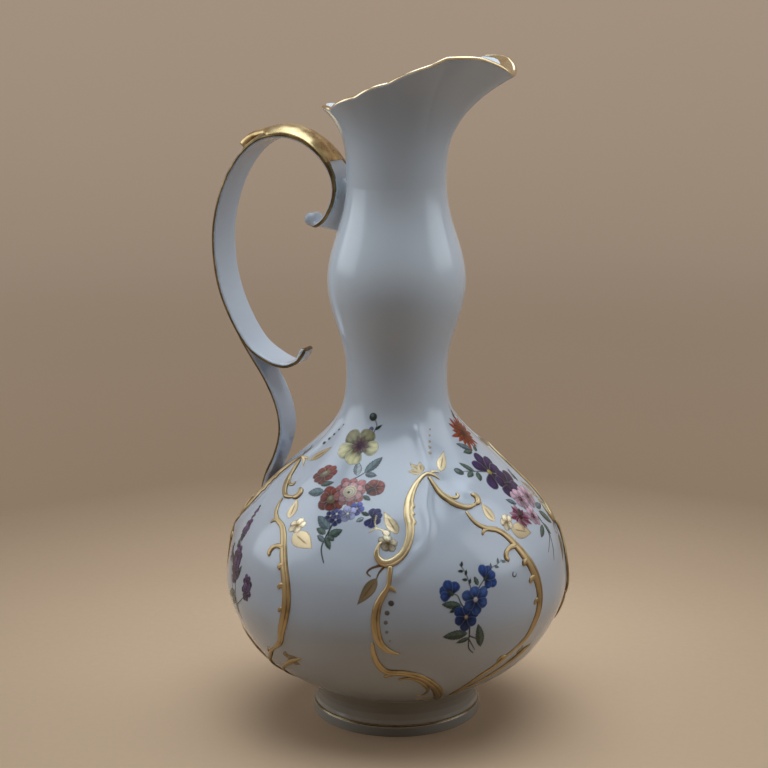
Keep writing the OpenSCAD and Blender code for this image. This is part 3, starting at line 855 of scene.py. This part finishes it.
class Canvas:
    """A stretch of the belly to paint: a grid of points x mm to the right of its middle and y mm above,
    measured along the wall. Each stroke lays its colour over what is there."""

    def __init__(self, width, low, high):
        across = np.arange(-width / 2, width / 2, brush_gap)
        self.x, self.y = np.meshgrid(across, np.arange(low, high, brush_gap))
        self.colour = np.zeros(self.x.shape + (3,))
        self.cover = np.zeros(self.x.shape)
        self.gold = np.zeros(self.x.shape)

    def near(self, x, y, reach):
        """The rows and columns within reach of a point."""
        row = (y - self.y[0, 0]) / brush_gap
        column = (x - self.x[0, 0]) / brush_gap
        far = reach / brush_gap + 2
        return (slice(max(0, int(row - far)), max(0, int(row + far))),
                slice(max(0, int(column - far)), max(0, int(column + far))))

    def lay(self, window, inside, colour, strength, gold=0.0, shade=0.0):
        """Lays paint where inside, a distance in mm, is above zero, and darkens by shade what was painted
        before just outside. On bare glaze there the colour is set but not the cover, so that the edge
        fades without a dark line."""
        amount = strength * np.clip(inside / soft_edge + 0.5, 0, 1)
        bare = self.cover[window] < 0.03
        outside = shade * np.exp(-((np.minimum(inside, 0) / 0.7) ** 2)) * ~bare
        self.colour[window] *= 1 - outside[..., None]
        tint = np.where(bare & (inside > -0.7), 1.0, amount)[..., None]
        self.colour[window] += (np.asarray(colour) - self.colour[window]) * tint
        self.gold[window] += (gold - self.gold[window]) * tint[..., 0]
        self.cover[window] += (1 - self.cover[window]) * amount

    def offsets(self, window, x, y, lean):
        """How far the window's points lie from x, y, to the right and up. Lean is a share and a direction:
        distances that way are divided by the share, so that what is drawn looks foreshortened."""
        dx, dy = self.x[window] - x, self.y[window] - y
        tip = np.radians(lean[1])
        squeezed = (dx * np.cos(tip) + dy * np.sin(tip)) * (1 / lean[0] - 1)
        return dx + squeezed * np.cos(tip), dy + squeezed * np.sin(tip)

    def stroke(self, x, y, turn, length, width, lean, fat, blunt, teeth=0.0):
        """A stroke that starts at a point: half its width is a sine of the share along it to the power of
        fat, made blunter by a root, with saw teeth on its edge. Gives its window, the shares along and
        across it, and the distance inside its edge."""
        window = self.near(x, y, length * 1.1 + width)
        dx, dy = self.offsets(window, x, y, lean)
        a = np.radians(turn)
        u = (dx * np.cos(a) + dy * np.sin(a)) / length
        v = (dy * np.cos(a) - dx * np.sin(a)) / (width / 2)
        s = np.clip(u, 0, 1)
        half = np.sin(np.pi * s**fat) ** blunt * (1 + teeth * ((s * length / 1.3) % 1 - 0.6))
        inside = np.minimum((half - np.abs(v)) * width / 2, np.minimum(u, 1 - u) * length + 0.25)
        return window, s, v, inside * lean[0] ** 0.5

    def petal(self, x, y, turn, length, width, inner, outer, lean=no_lean, fat=1.7, blunt=0.55,
              line=None, gold=0.0):
        """A petal that runs from its inner to its outer colour, lighter on its upper side and towards its
        middle, with a few dark veins and a pale outline."""
        window, s, v, inside = self.stroke(x, y, turn, length, width, lean, fat, blunt)
        blend = np.clip(1.35 * s - 0.15, 0, 1)[..., None]
        colour = linear(inner) * (1 - blend) + linear(outer) * blend
        upper = v * np.cos(np.radians(turn))
        veins = np.abs(np.sin(5.0 * v + 0.6)) ** 6 * (1 - 0.8 * s)
        ruffle = np.sin(7 * v + 3 * x) * np.sin(9 * s + 5 * y)
        bloom = np.exp(-(((s - 0.68) / 0.22) ** 2) - (v / 0.55) ** 2)
        colour = colour * (0.84 + 0.32 * upper - 0.4 * veins + 0.5 * bloom + 0.16 * ruffle)[..., None]
        edge = np.exp(-((inside / 0.34) ** 2))[..., None] * 0.55
        outline = linear(paler(outer, 0.5) if line is None else line)
        self.lay(window, inside, colour * (1 - edge) + outline * edge, 0.96, gold=gold, shade=0.4)

    def leaf(self, x, y, turn, length, width, colour):
        """A toothed leaf, one half lighter, with a pale midrib, slanting side veins and a dark outline."""
        window, s, v, inside = self.stroke(x, y, turn, length, width, no_lean, 0.85, 0.75, 0.16)
        upper = v * np.sign(np.cos(np.radians(turn)) + 0.01)
        tone = 1.0 + 0.55 * np.clip(3 * upper, -0.6, 1) * (1 - 0.5 * np.abs(v))
        veins = np.abs(np.sin(length * 1.1 * (s - 0.25 * np.abs(v)))) ** 10
        rib = np.exp(-((v * width / 2 / 0.26) ** 2)) * (1 - s)
        edge = np.exp(-((inside / 0.3) ** 2))[..., None] * 0.75
        shade = (tone * (1 - 0.3 * veins) + 0.6 * rib)[..., None]
        painted = linear(colour) * shade * (1 - edge) + linear(deeper(colour, 0.5)) * edge
        self.lay(window, inside, painted, 0.95, shade=0.3)

    def leaves(self, colour, *places):
        """Leaves of one colour: each place holds a start, a turn, a length and a width."""
        for place in places:
            self.leaf(*place, colour)

    def gilt_leaf(self, x, y, turn, length, width, tone=1.0):
        """A smooth pointed leaf of pale gold with a fine dark outline and a dark slit along its middle,
        lighter on one side as a painted highlight and darkened by tone.
        """
        window, s, v, inside = self.stroke(x, y, turn, length, width, no_lean, 0.72, 1.0)
        slit = np.exp(-((v * width / 2 / 0.3) ** 2))
        slit = slit * np.clip(6 * (s - 0.1), 0, 1) * np.clip(5 * (0.78 - s), 0, 1)
        edge = np.exp(-((inside / 0.26) ** 2)) * 0.6
        line = np.maximum(slit, edge)[..., None]
        colour = linear(pale_gold) * tone * (1 + 0.25 * v)[..., None]
        self.lay(window, inside, colour * (1 - line) + linear(brown_gold) * line, 0.97, gold=0.5)

    def disc(self, x, y, radius, colour, lean=no_lean, gold=0.0, strength=1.0):
        """A round dab, a little darker below."""
        window = self.near(x, y, radius + 1.3)
        away = np.hypot(*self.offsets(window, x, y, lean))
        shade = np.clip(1.05 + 0.3 * (self.y[window] - y) / max(radius, 0.1), 0.6, 1.4)[..., None]
        self.lay(window, radius - away, linear(colour) * shade, strength, gold=gold)

    def ring(self, x, y, radius, width, colour):
        """A thin brushed circle."""
        window = self.near(x, y, radius + 2)
        away = np.hypot(*self.offsets(window, x, y, no_lean))
        self.lay(window, width / 2 - np.abs(away - radius), linear(colour), 0.85)

    def stem(self, points, width, colour, gold=0.0):
        """A brushed line through a few points, thinner towards its end: the distance to its nearest
        sample, compared with half its width there."""
        line = evened(spline(points, 10), 0.25)
        middle = (line.min(axis=0) + line.max(axis=0)) / 2
        window = self.near(middle[0], middle[1], np.ptp(line, axis=0).max() / 2 + 1.5)
        dx = self.x[window][..., None] - line[:, 0]
        dy = self.y[window][..., None] - line[:, 1]
        away = np.hypot(dx, dy)
        half = width / 2 * (1 - 0.5 * away.argmin(axis=-1) / len(line))
        self.lay(window, half - away.min(axis=-1), linear(colour), 0.95, gold=gold)

    def stems(self, *lines):
        """Dark stems: each line holds a width and then its points."""
        for width, *points in lines:
            self.stem(points, width, leaf_dark)

    def blossom(self, x, y, radius, petals, inner, outer, turn=0, lean=no_lean, wide=0.9, **edge):
        """An open flower: a ring of separate round petals, every other one laid first, the upper ones
        lighter than the lower. Edge holds the petals' outline and gold, where they have their own."""
        spread = 2 * np.pi / petals * radius * 0.72 * wide
        for k in list(range(0, petals, 2)) + list(range(1, petals, 2)):
            a = turn + 360 * k / petals
            size = radius * (1 + 0.1 * np.cos(3 * k + petals))
            tone = 1 + 0.16 * np.sin(np.radians(a + 30))
            inside, outside = np.array(inner) * tone, np.array(outer) * tone
            self.petal(x, y, a, size, spread, inside, outside, lean, **edge)

    def heart(self, x, y, radius, colour, dots):
        """A flower's heart: a dab with a pale spot and a circle of stamens."""
        self.disc(x, y, radius, colour)
        self.disc(x - 0.2 * radius, y + 0.25 * radius, 0.45 * radius, paler(colour, 0.35), strength=0.7)
        around = np.radians(np.arange(0, 360, 45))
        for c, s in zip(np.cos(around), np.sin(around)):
            self.disc(x + c * radius * 1.1, y + s * radius * 1.1, 0.14 + 0.07 * radius, dots)

    def dabs(self, x, y, high, wide, count, size, inner, outer):
        """A spike of small florets: dabs on a sunflower spiral squeezed into an oval, the outer ones first,
        each turned a little to the left or right."""
        k = np.arange(count)[::-1]
        away = np.sqrt((k + 0.5) / count)
        a = 2.4 * k
        turn = 90 + 80 * np.sin(2.1 * k)
        dx = x + away * np.cos(a) * wide - 0.5 * size * np.cos(np.radians(turn))
        dy = y + away * np.sin(a) * high - 0.5 * size * np.sin(np.radians(turn))
        tones = 1 + 0.35 * np.sin(1.7 * k)
        for place, t, tone in zip(np.stack([dx, dy], axis=1), turn, tones):
            self.petal(*place, t, size, size * 0.8, np.array(inner) * tone, np.array(outer) * tone)

    def fire(self, name, degrees, height):
        """The painted stretch as a sheet on the wall, with its bare cells left out."""
        y0 = np.interp(height, wall_z, wall_length)
        heights = np.interp(self.y + y0, wall_length, wall_z)
        angle = degrees + np.degrees(self.x / np.interp(heights, wall_z, wall_r))
        points = on_wall(angle, heights, np.full(self.x.shape, film_lift))
        piece = cast(name, points, around=False, paint=self.colour, cover=self.cover, metal=self.gold)
        corners = [self.cover[:-1, :-1], self.cover[1:, :-1], self.cover[:-1, 1:], self.cover[1:, 1:]]
        sheet = bmesh.new()
        sheet.from_mesh(piece.data)
        sheet.faces.ensure_lookup_table()
        bare = np.flatnonzero(np.maximum.reduce(corners).ravel() < bare_below)
        bare = [sheet.faces[k] for k in bare]
        bmesh.ops.delete(sheet, geom=bare, context="FACES")
        sheet.to_mesh(piece.data)
        sheet.free()
        piece.data.shade_smooth()
        return piece


def painted_enamel(name):
    """Fired enamel and gold film: colour, cover and metal come from the brush strokes, with a faint
    unevenness in the wash."""
    material, shader, place = begin(name)
    paint = place.layer("paint", 0)
    metal = place.layer("metal")
    wash = place.noise(700.0, 2.0).step(0.25, 0.8)
    paint.node("ShaderNodeMix", {"data_type": "RGBA", "blend_type": "MULTIPLY"},
               {0: 0.3 * wash, 6: paint, 7: (0.62, 0.6, 0.6, 1.0)}, 2).feed(shader, "Base Color")
    place.layer("cover").feed(shader, "Alpha")
    metal.feed(shader, "Metallic")
    (0.12 + metal * 0.2 + wash * 0.05).feed(shader, "Roughness")
    wash.emboss(shader, 0.15, 0.0002)
    shader.inputs["IOR"].default_value = 1.5
    shader.inputs["Specular IOR Level"].default_value = 0.3
    return material


def side_bouquet(pink, red, yellow, blue, violet):
    """A loose bouquet with a yellow flower on top, a pink one in its middle and small blue ones below."""
    c = Canvas(62, -36, 50)
    c.stems((0.9, [-4, -10], [-6.6, -20], [-7.5, -26.3], [-4.9, -32.4]),
            (0.6, [-5, -12], [-5.8, -20], [-3.4, -26]),
            (0.6, [-3, 24], [0.9, 36.9], [1.0, 40], [-1.0, 43]),
            (0.6, [-3.5, 9], [2.2, 14.3], [7, 21.5]))
    c.disc(-1.2, 43.1, 1.9, leaf_dark)
    c.disc(-1.6, 43.7, 0.8, leaf_blue)
    c.leaf(0.9, 36.9, 44, 4, 1.4, leaf_dark)
    c.disc(-1.0, 37.3, 1.1, paler(violet, 0.3))
    c.leaves(leaf_blue, (2.2, 14.3, 57, 10.6, 4.4), (2.6, 13.6, -6, 5.6, 3.0))
    # This pale leaf is a painted highlight: a reflection on the glaze painted in among the leaves.
    c.leaf(-1.0, 12.4, 104, 7.4, 4.0, paler(leaf_blue, 0.45))
    c.leaf(-15.3, 1.4, 198, 9.0, 4.6, leaf_blue)
    c.leaves(leaf_green, (-18.4, 4.2, 22, 7.4, 2.8), (5.2, 2.0, -30, 4.4, 2.2))
    c.leaf(-6.1, -16.5, 146, 9.2, 5.2, leaf_blue)
    c.leaves(leaf_green, (-5.7, -20.1, 33, 7.2, 4.2), (-7.3, -19.1, 160, 5.6, 3.2))
    c.leaf(-6.9, -22.7, 153, 4.8, 2.6, leaf_blue)
    c.leaves(leaf_green, (-6.8, -20.8, -55, 6.4, 2.8), (-6.0, -20.0, -25, 4.2, 2.4))
    olive = (122, 110, 80)
    brown = deeper(yellow, 0.35)
    shaded = (160, 152, 116)
    for turn, length, width, tip in ((143, 10, 9, shaded), (64, 9.6, 8.4, shaded), (-5, 9.6, 8, yellow),
                                     (208, 12, 8.6, yellow), (-101, 10.4, 9, yellow)):
        c.petal(-4.8, 28, turn, length, width, brown, tip, line=paler(yellow, 0.35))
    for turn in range(0, 360, 40):
        c.petal(-4.4, 28.2, turn, 4.6, 1.7, (92, 58, 76), (132, 104, 96), line=(110, 82, 84))
    c.disc(-4.4, 28.2, 1.5, (88, 58, 74))
    c.blossom(-18.3, 10, 7.6, 8, deeper(red, 0.25), red, 12, (0.6, 126), wide=1.3)
    c.disc(-18.3, 10.4, 3.2, olive, (0.45, 126))
    c.disc(-18.6, 10.7, 1.6, paler(olive, 0.3), (0.4, 126))
    c.blossom(-9.8, -1.9, 6.8, 7, deeper(red, 0.3), red, 20, wide=1.35)
    c.heart(-9.8, -1.9, 2.2, olive, deeper(olive, 0.4))
    c.blossom(9.2, 6.6, 5.0, 5, deeper(red, 0.2), paler(red, 0.12), 40, (0.85, 60), wide=1.2)
    c.leaf(6.4, 3.0, 60, 3.4, 1.4, leaf_dark)
    c.blossom(-1.7, 3.3, 8.0, 9, deeper(pink, 0.15), pink, 10, wide=1.15)
    c.blossom(-1.7, 3.3, 5.6, 7, deeper(pink, 0.1), paler(pink, 0.3), 30, wide=1.15)
    c.disc(-1.8, 3.4, 3.2, (226, 216, 188))
    c.ring(-1.8, 3.4, 2.5, 0.4, (176, 150, 120))
    c.ring(-2.0, 3.2, 1.5, 0.35, (186, 160, 128))
    c.disc(-2.3, 3.0, 0.7, (84, 72, 56))
    for x, y, size, tint in ((-7.2, -10.2, 3.0, deeper(blue, 0.4)), (-4.3, -11.6, 3.4, deeper(blue, 0.35)),
                             (4.1, -5.0, 3.6, blue), (0.6, -8.0, 4.2, paler(blue, 0.5)),
                             (-4.6, -8.8, 2.8, deeper(blue, 0.2))):
        c.blossom(x, y, size, 5, deeper(tint, 0.2), tint, 70 * x)
        c.disc(x, y, 0.55, (232, 226, 214))
    c.leaf(10.6, -8, 160, 4.2, 2.0, leaf_dark)
    c.leaf(8.6, -9.4, 215, 3.6, 2.4, paler(leaf_blue, 0.3))
    for turn, length in ((100, 4.8), (62, 5.2), (20, 4.6), (-30, 5), (-75, 5.4), (-112, 4.6)):
        c.petal(12.2, -9.0, turn, length, 3.6, deeper(violet, 0.35), violet, line=paler(violet, 0.3))
    return c


def spout_bouquet(aster, violet, pale, magenta):
    """A taller bouquet with an aster on top, two dark flowers in its middle and pale ones below."""
    c = Canvas(66, -44, 52)
    c.stems((0.6, [2, 30], [3.4, 40], [2.4, 48]))
    c.leaf(2.7, 41, 70, 4.6, 2.0, leaf_green)
    c.stems((0.9, [2, -18], [4.6, -28], [2, -35], [-1.7, -41]),
            (0.7, [3, -18], [3.6, -29], [-1, -33], [-5.5, -36]),
            (0.6, [-8, 11], [-16, 13.7], [-23.5, 15.3]))
    c.disc(-23.8, 15.4, 2.1, leaf_dark)
    c.disc(-24.3, 16.0, 1.0, leaf_blue)
    c.leaves(leaf_green, (-15.6, 13.4, 119, 7.4, 3.2), (-17, 13.4, 200, 5.6, 2.6),
             (-14, 12.6, 232, 6.0, 3.0))
    c.leaf(-3.2, 23.7, 141, 9.4, 3.8, leaf_blue)
    c.leaves(leaf_green, (-4.6, 23.4, 172, 6.4, 3.0), (-2.0, 22.6, 30, 5.0, 2.6), (13.2, -2, 88, 7.4, 3.4))
    c.leaves(leaf_blue, (11, 0, 50, 7, 3.0), (-7.9, -9, 142, 6.4, 3.0))
    c.leaf(8, -18.6, -47, 12.4, 4.6, leaf_green)
    c.leaf(8, -16, -10, 9, 3.8, leaf_blue)
    c.leaves(leaf_green, (2.1, -24.3, 206, 9.2, 3.4), (4, -24, 290, 7, 3.0))
    thin = {"fat": 1.2, "blunt": 0.8}
    for k in range(17):
        length = 9.6 + 1.4 * np.cos(2.3 * k)
        c.petal(1.6, 33, 21 * k + 8, length, 2.4, deeper(aster, 0.3), aster, line=paler(aster, 0.2), **thin)
    for k in range(9):
        c.petal(1.6, 33, 40 * k, 5.4, 2.0, deeper(aster, 0.5), deeper(aster, 0.15), line=aster, **thin)
    c.disc(1.6, 33, 1.5, deeper(aster, 0.55))
    edge = paler(violet, 0.55)
    for turn, length in ((75, 12), (33, 12), (126, 9.6), (1, 10.4), (-73, 8.6), (227, 11.6)):
        c.petal(-6.4, 10.4, turn, length, 6.6, deeper(violet, 0.25), violet, line=edge)
    c.heart(-6.4, 10.4, 1.5, (170, 150, 66), (54, 40, 40))
    for turn, length in ((20, 12), (70, 9), (-30, 10), (-80, 8.4), (140, 7.6), (215, 9)):
        c.petal(-1.4, 0.8, turn, length, 7.6, deeper(violet, 0.35), deeper(violet, 0.1), line=edge)
    c.petal(-2.6, 2.6, -52, 8.4, 6.6, deeper(violet, 0.3), violet, line=edge)
    rose = deeper(pale, 0.25)
    for x, y, size, turn in ((8.2, -9.4, 6.6, 0), (-1.4, -8.2, 6.4, 20), (-1.6, -18, 5.2, 50)):
        c.blossom(x, y, size, 6, rose, pale, turn, wide=1.1, line=paler(pale, 0.5))
        c.heart(x, y, 1.4, (74, 36, 54), magenta)
    for k in range(15):
        tint = magenta if k % 3 else paler(magenta, 0.45)
        length = 6.2 + 1.2 * np.cos(1.9 * k)
        c.petal(-12.4, -15.4, 24 * k, length, 2.4, deeper(tint, 0.35), tint, **thin)
    c.disc(-12.4, -15.4, 1.3, deeper(magenta, 0.5))
    c.leaf(-10, -11.4, 260, 4, 1.8, leaf_dark)
    return c


def gilt_ornament(c, pearl):
    """Gilt leaves, five-petalled flowers, tendrils and pearls beside the scrolls of a cartouche. Pearl is
    the colour of the row of pearls above its crest."""
    # The leaf by the C scroll, at tone 0.4, is painted darker as painted shade.
    for leaf in ((-27, 26.5, 104, 11.5, 5.6), (-40.5, 6, 230, 15.5, 4.8, 0.4), (2.4, 57.5, 61, 12, 4.8),
                 (22, 27.4, 114, 11.2, 5.0), (30.8, 21.6, -20, 15, 7.6)):
        c.gilt_leaf(*leaf)
    for turn, length in ((70, 6), (-16, 6.5), (26, 8)):
        c.gilt_leaf(32.5, -42, turn, length, 4.2, 0.5)
    for x, y, size, turn in ((-32.2, 22, 4.2, 10), (29.3, 25.4, 4.2, 25)):
        light = paler(pale_gold, 0.25)
        c.blossom(x, y, size, 5, pale_gold, light, turn, wide=1.0, line=brown_gold, gold=0.5)
        c.disc(x, y, 0.8, brown_gold, gold=0.6)
    for turn, length in ((168, 6), (122, 7), (82, 6)):
        c.gilt_leaf(-6.8, 57.6, turn, length, 3.2, 0.6)
    c.disc(-31.6, 27, 1.7, brown_gold, gold=0.5)
    c.disc(-31.6, 27, 1.35, paler(pale_gold, 0.3), gold=0.4)
    c.stem([[-31.6, 26], [-33.4, 28.6], [-36.6, 28.8], [-39.2, 27]], 1.0, pale_gold, 0.7)
    c.stem([[-35.5, 29], [-35.4, 32], [-33.8, 35.5]], 0.9, pale_gold, 0.7)
    c.stem([[-36.5, 12], [-39.5, 11.4], [-42.6, 10.2], [-44.4, 8.4], [-43.2, 7]], 1.1, brown_gold, 0.8)
    c.stem([[-36.5, 11], [-39, 8.6], [-40.5, 6]], 0.9, brown_gold, 0.8)
    # The pearls are painted grey, darkest at the top of the row by the C scroll: painted shade on gilt
    # pearls.
    for k in range(5):
        grey = paler((96, 90, 84), 0.15 * k)
        c.disc(-38.2 + 0.6 * (k - 2.2) ** 2, -4.6 - 4.3 * k, 1.25 - 0.2 * k, grey, gold=0.2)
        c.disc(0.6 + 0.95 * k, 68 + 3 * k, 0.9 - 0.12 * k, pearl, gold=0.3, strength=0.8)


def loose_sprig(petals, pale):
    """A cartouche's own painting: a sprig of four small flowers, two seen from the side, with two thin
    tips of buds and a few leaves."""
    c = Canvas(122, -50, 84)
    c.stems((0.8, [0, -10], [-0.1, -19], [0.4, -27.9], [3.4, -32]),
            (0.5, [0.2, -24], [2.6, -28], [4, -30.4]),
            (0.6, [0, -22], [5, -25], [6.8, -29]),
            (0.7, [-1, -10], [-3.6, -6.9], [-5.3, -2.7], [-7.6, -2]),
            (0.6, [3.4, -3], [6.4, 0.4], [9, 3]),
            (0.5, [2, -3], [1.1, 1.5], [-0.2, 7.1], [-2.2, 10.8]),
            (0.4, [10, 4], [13.6, 7], [17, 8], [20, 9.6]))
    for k in range(5):
        c.leaf(1.0 - 0.65 * k, 1.6 + 2.0 * k, 70 + 100 * (k % 2), 2.6, 1.3, leaf_dark)
    for k in range(4):
        c.leaf(13 + 2.2 * k, 6.6 + 0.8 * k, 80 - 100 * (k % 2), 2.6, 1.2, leaf_blue)
    c.leaf(-4.1, -7.3, 171, 8.8, 3.6, leaf_green)
    c.leaf(-4.1, -7.8, 201, 5.8, 2.2, leaf_dark)
    c.leaves(leaf_green, (-1.2, -20.5, 182, 11.4, 4.6), (0.2, -23, 196, 6.4, 2.4),
             (6.6, -28.6, 102, 12, 4.2), (5.2, 0.6, 108, 4.2, 2.2))
    c.leaf(6.4, -1.3, 2, 3.6, 2.0, leaf_dark)
    dark = deeper(petals, 0.45)
    for turn, length in ((148, 6.2), (63, 6.2), (108, 7), (186, 5.4)):
        c.petal(-7.8, -2.2, turn, length, 4.8, dark, petals, line=pale)
    c.leaf(-7.2, -2.6, 130, 3.4, 2.2, leaf_dark)
    for turn, length in ((-28, 6.6), (62, 6.4), (18, 6.0), (98, 6.8), (-62, 4.6)):
        c.petal(9.2, 2.6, turn, length, 4.4, dark, petals, line=pale)
    c.leaf(8.4, 2.0, 40, 3.2, 2.0, leaf_dark)
    c.blossom(-1.7, -12.8, 6.2, 6, deeper(dark, 0.15), deeper(petals, 0.15), 20, wide=1.0, line=pale)
    c.heart(-1.7, -12.8, 0.9, (190, 160, 120), (70, 60, 80))
    c.blossom(3.4, -5.6, 6.6, 6, dark, paler(petals, 0.1), 32, wide=1.0, line=pale)
    c.heart(3.4, -5.6, 1.1, (206, 196, 190), (110, 100, 90))
    c.stem([[25.4, 2.6], [25, 1.2], [26.4, 0.6], [27.4, 1.6]], 0.6, (70, 62, 66))
    gilt_ornament(c, (190, 168, 140))
    return c


def flower_spike(petals):
    """A cartouche's own painting: tall spikes of small dark florets with narrow leaves."""
    c = Canvas(122, -50, 84)
    c.stems((0.8, [1.7, -29.4], [0, -16], [-3, -2], [-6.4, 14], [-7.4, 26]),
            (0.6, [1, -22], [7, -18], [12, -14]),
            (0.6, [0, -20], [-9, -10], [-17.4, 1.2]))
    c.leaves(leaf_green, (-1, -16, 205, 12, 4.2), (0, -18, 222, 9, 3.6))
    c.leaf(-4, -6, 150, 12, 3.6, leaf_dark)
    c.leaf(0, -10, 62, 9, 3.0, leaf_green)
    c.leaf(1.4, -20, 250, 8, 3.0, leaf_blue)
    dark = deeper(petals, 0.35)
    c.dabs(-7.1, 22.4, 3.6, 0.8, 9, 2.2, dark, petals)
    c.dabs(-6.4, 13.2, 5.0, 2.6, 26, 3.4, dark, petals)
    c.dabs(-7.4, 6.4, 2.4, 1.2, 8, 2.4, leaf_dark, leaf_green)
    c.dabs(-3.4, -3.4, 8.6, 4.6, 52, 4.0, dark, petals)
    c.dabs(12.4, -10.6, 5.4, 3.2, 30, 3.6, dark, petals)
    c.dabs(-15, -1, 4.2, 1.4, 12, 2.4, dark, petals)
    # Dark pearls above the crest: painted shade on gilt pearls.
    gilt_ornament(c, (84, 72, 60))
    return c


enamel = painted_enamel("painted_enamel")
right_side = side_bouquet((190, 122, 120), (142, 70, 58), (240, 230, 178), (98, 102, 182), (66, 62, 116))
front = spout_bouquet((164, 74, 46), (74, 56, 96), (214, 172, 186), (144, 46, 80))
left_side = side_bouquet((196, 128, 146), (162, 88, 56), (218, 198, 128), (100, 88, 150), (116, 62, 96))
back = spout_bouquet((172, 96, 58), (64, 72, 116), (222, 190, 160), (138, 58, 70))
side_z, front_z, sprig_z = 120, 118, 85
sprays = {
    "spray_right": (right_side, -90, side_z),
    "spray_front": (front, 0, front_z),
    "spray_left": (left_side, 90, side_z),
    "spray_back": (back, 180, front_z),
    "sprig_right_front": (loose_sprig((52, 84, 152), (118, 146, 204)), quarters["right_front"], sprig_z),
    "sprig_right_rear": (flower_spike((100, 70, 112)), quarters["right_rear"], sprig_z),
    "sprig_left_rear": (loose_sprig((176, 84, 74), (226, 170, 150)), quarters["left_rear"], sprig_z),
    "sprig_left_front": (flower_spike((150, 70, 104)), quarters["left_front"], sprig_z),
}
for name, (canvas, degrees, height) in sprays.items():
    placed(canvas.fire(name, degrees, height), enamel)


# Stage: a pale beige sweep all round, one broad soft lamp overhead, weak soft lamps at both sides,
# and the camera at the photograph's place.
sweep_flat = 1500
sweep_bend = 700
sweep_wall = sweep_flat + sweep_bend
sweep_arc = np.radians(np.linspace(0, 90, 24))
bend_x = sweep_flat + sweep_bend * np.sin(sweep_arc)
bend_z = sweep_bend - sweep_bend * np.cos(sweep_arc)
sweep_profile = np.concatenate([[[0, 0], [400, 0], [1200, 0]], np.stack([bend_x, bend_z], axis=1),
                                [[sweep_wall, 1400], [sweep_wall, 2400]]])
sweep = cast("sweep", turned(sweep_profile, 96)[:, ::-1], poles=(0,))
material, shader, place = begin("sweep_paper")
far = place.node("ShaderNodeVectorMath", {"operation": "LENGTH"}, {0: place}, 1)
fibre = place.noise(3.0) * 0.08 + place.noise(260.0) * 0.03
ray = "ShaderNodeLightPath"
seen = place.node(ray).most(place.node(ray, output=3)).most(place.node(ray, output=6))
# Seen by the camera and in reflections, the paper is painted darker further out, a painted falloff of the
# light, and it glows more the further out it lies, a painted light; other rays see the bounce colour.
shaded_paper = (far + fibre).step(0.15, 0.5).mixed(rgb(213, 180, 147), rgb(139, 113, 88))
bounce = far.step(0.2, 0.7).mixed(rgb(140, 115, 86), rgb(119, 118, 121))
seen.mixed(bounce, shaded_paper).feed(shader, "Base Color")
painted_glow = (far + fibre).step(0.3, 2.3) * seen
painted_glow.mixed((0.0, 0.0, 0.0, 1.0), (0.32, 0.25, 0.195, 1.0)).feed(shader, "Emission Color")
shader.inputs["Emission Strength"].default_value = 1.0
shader.inputs["Roughness"].default_value = 0.9
sweep.data.materials.append(material)

world = bpy.data.worlds.new("studio")
bpy.context.scene.world = world
world.use_nodes = True
sky = world.node_tree.nodes["Background"].inputs
sky["Color"].default_value = (0.82, 0.91, 1.0, 1.0)
sky["Strength"].default_value = 0.07

daylight = (0.83, 0.92, 1.0)
lamp_aim = (0.0, 0.0, 0.2)


def softbox(name, place, size, power):
    """A square area lamp at place that faces the ewer. Its light fades only near its edges, as one minus
    the sixth power of the distance from the middle in both directions."""
    lamp = bpy.data.lights.new(name, "AREA")
    lamp.size = size
    lamp.energy = power
    lamp.color = daylight
    lamp.use_nodes = True
    tree = lamp.node_tree
    spot = Tone(tree, tree.nodes.new("ShaderNodeNewGeometry").outputs["Parametric"])
    across = spot.math("POWER", spot.axis(0) * 2 - 1, 6.0)
    upward = spot.math("POWER", spot.axis(1) * 2 - 1, 6.0)
    ((1 - across) * (1 - upward) * 1.36).feed(tree.nodes["Emission"], "Color")
    rig = bpy.data.objects.new(name, lamp)
    bpy.context.collection.objects.link(rig)
    back = np.array(place) - np.array(lamp_aim)
    back = back / np.linalg.norm(back)
    rig.location = place
    rig.rotation_euler = (np.arccos(back[2]), 0.0, np.arctan2(back[0], -back[1]))


softbox("lamp_overhead", (0.0, 0.14, 1.25), 1.5, 15.2)
softbox("lamp_left", (-1.25, -0.35, 0.85), 1.4, 7.0)
softbox("lamp_right", (1.15, 0.45, 0.85), 1.2, 4.8)

photo_px = 768
focal_px = 1700
camera_down = 12.022
camera_turn = 21.7
camera = bpy.data.objects.new("camera", bpy.data.cameras.new("camera"))
camera.data.sensor_width = 36.0
camera.data.lens = focal_px / photo_px * camera.data.sensor_width
camera.data.shift_x = -0.0163
camera.location = (0.2932, -0.7368, 0.3309)
camera.rotation_euler = np.radians([90 - camera_down, 0.0, camera_turn]).tolist()
bpy.context.collection.objects.link(camera)
bpy.context.scene.camera = camera
bpy.context.scene.view_settings.view_transform = "Standard"
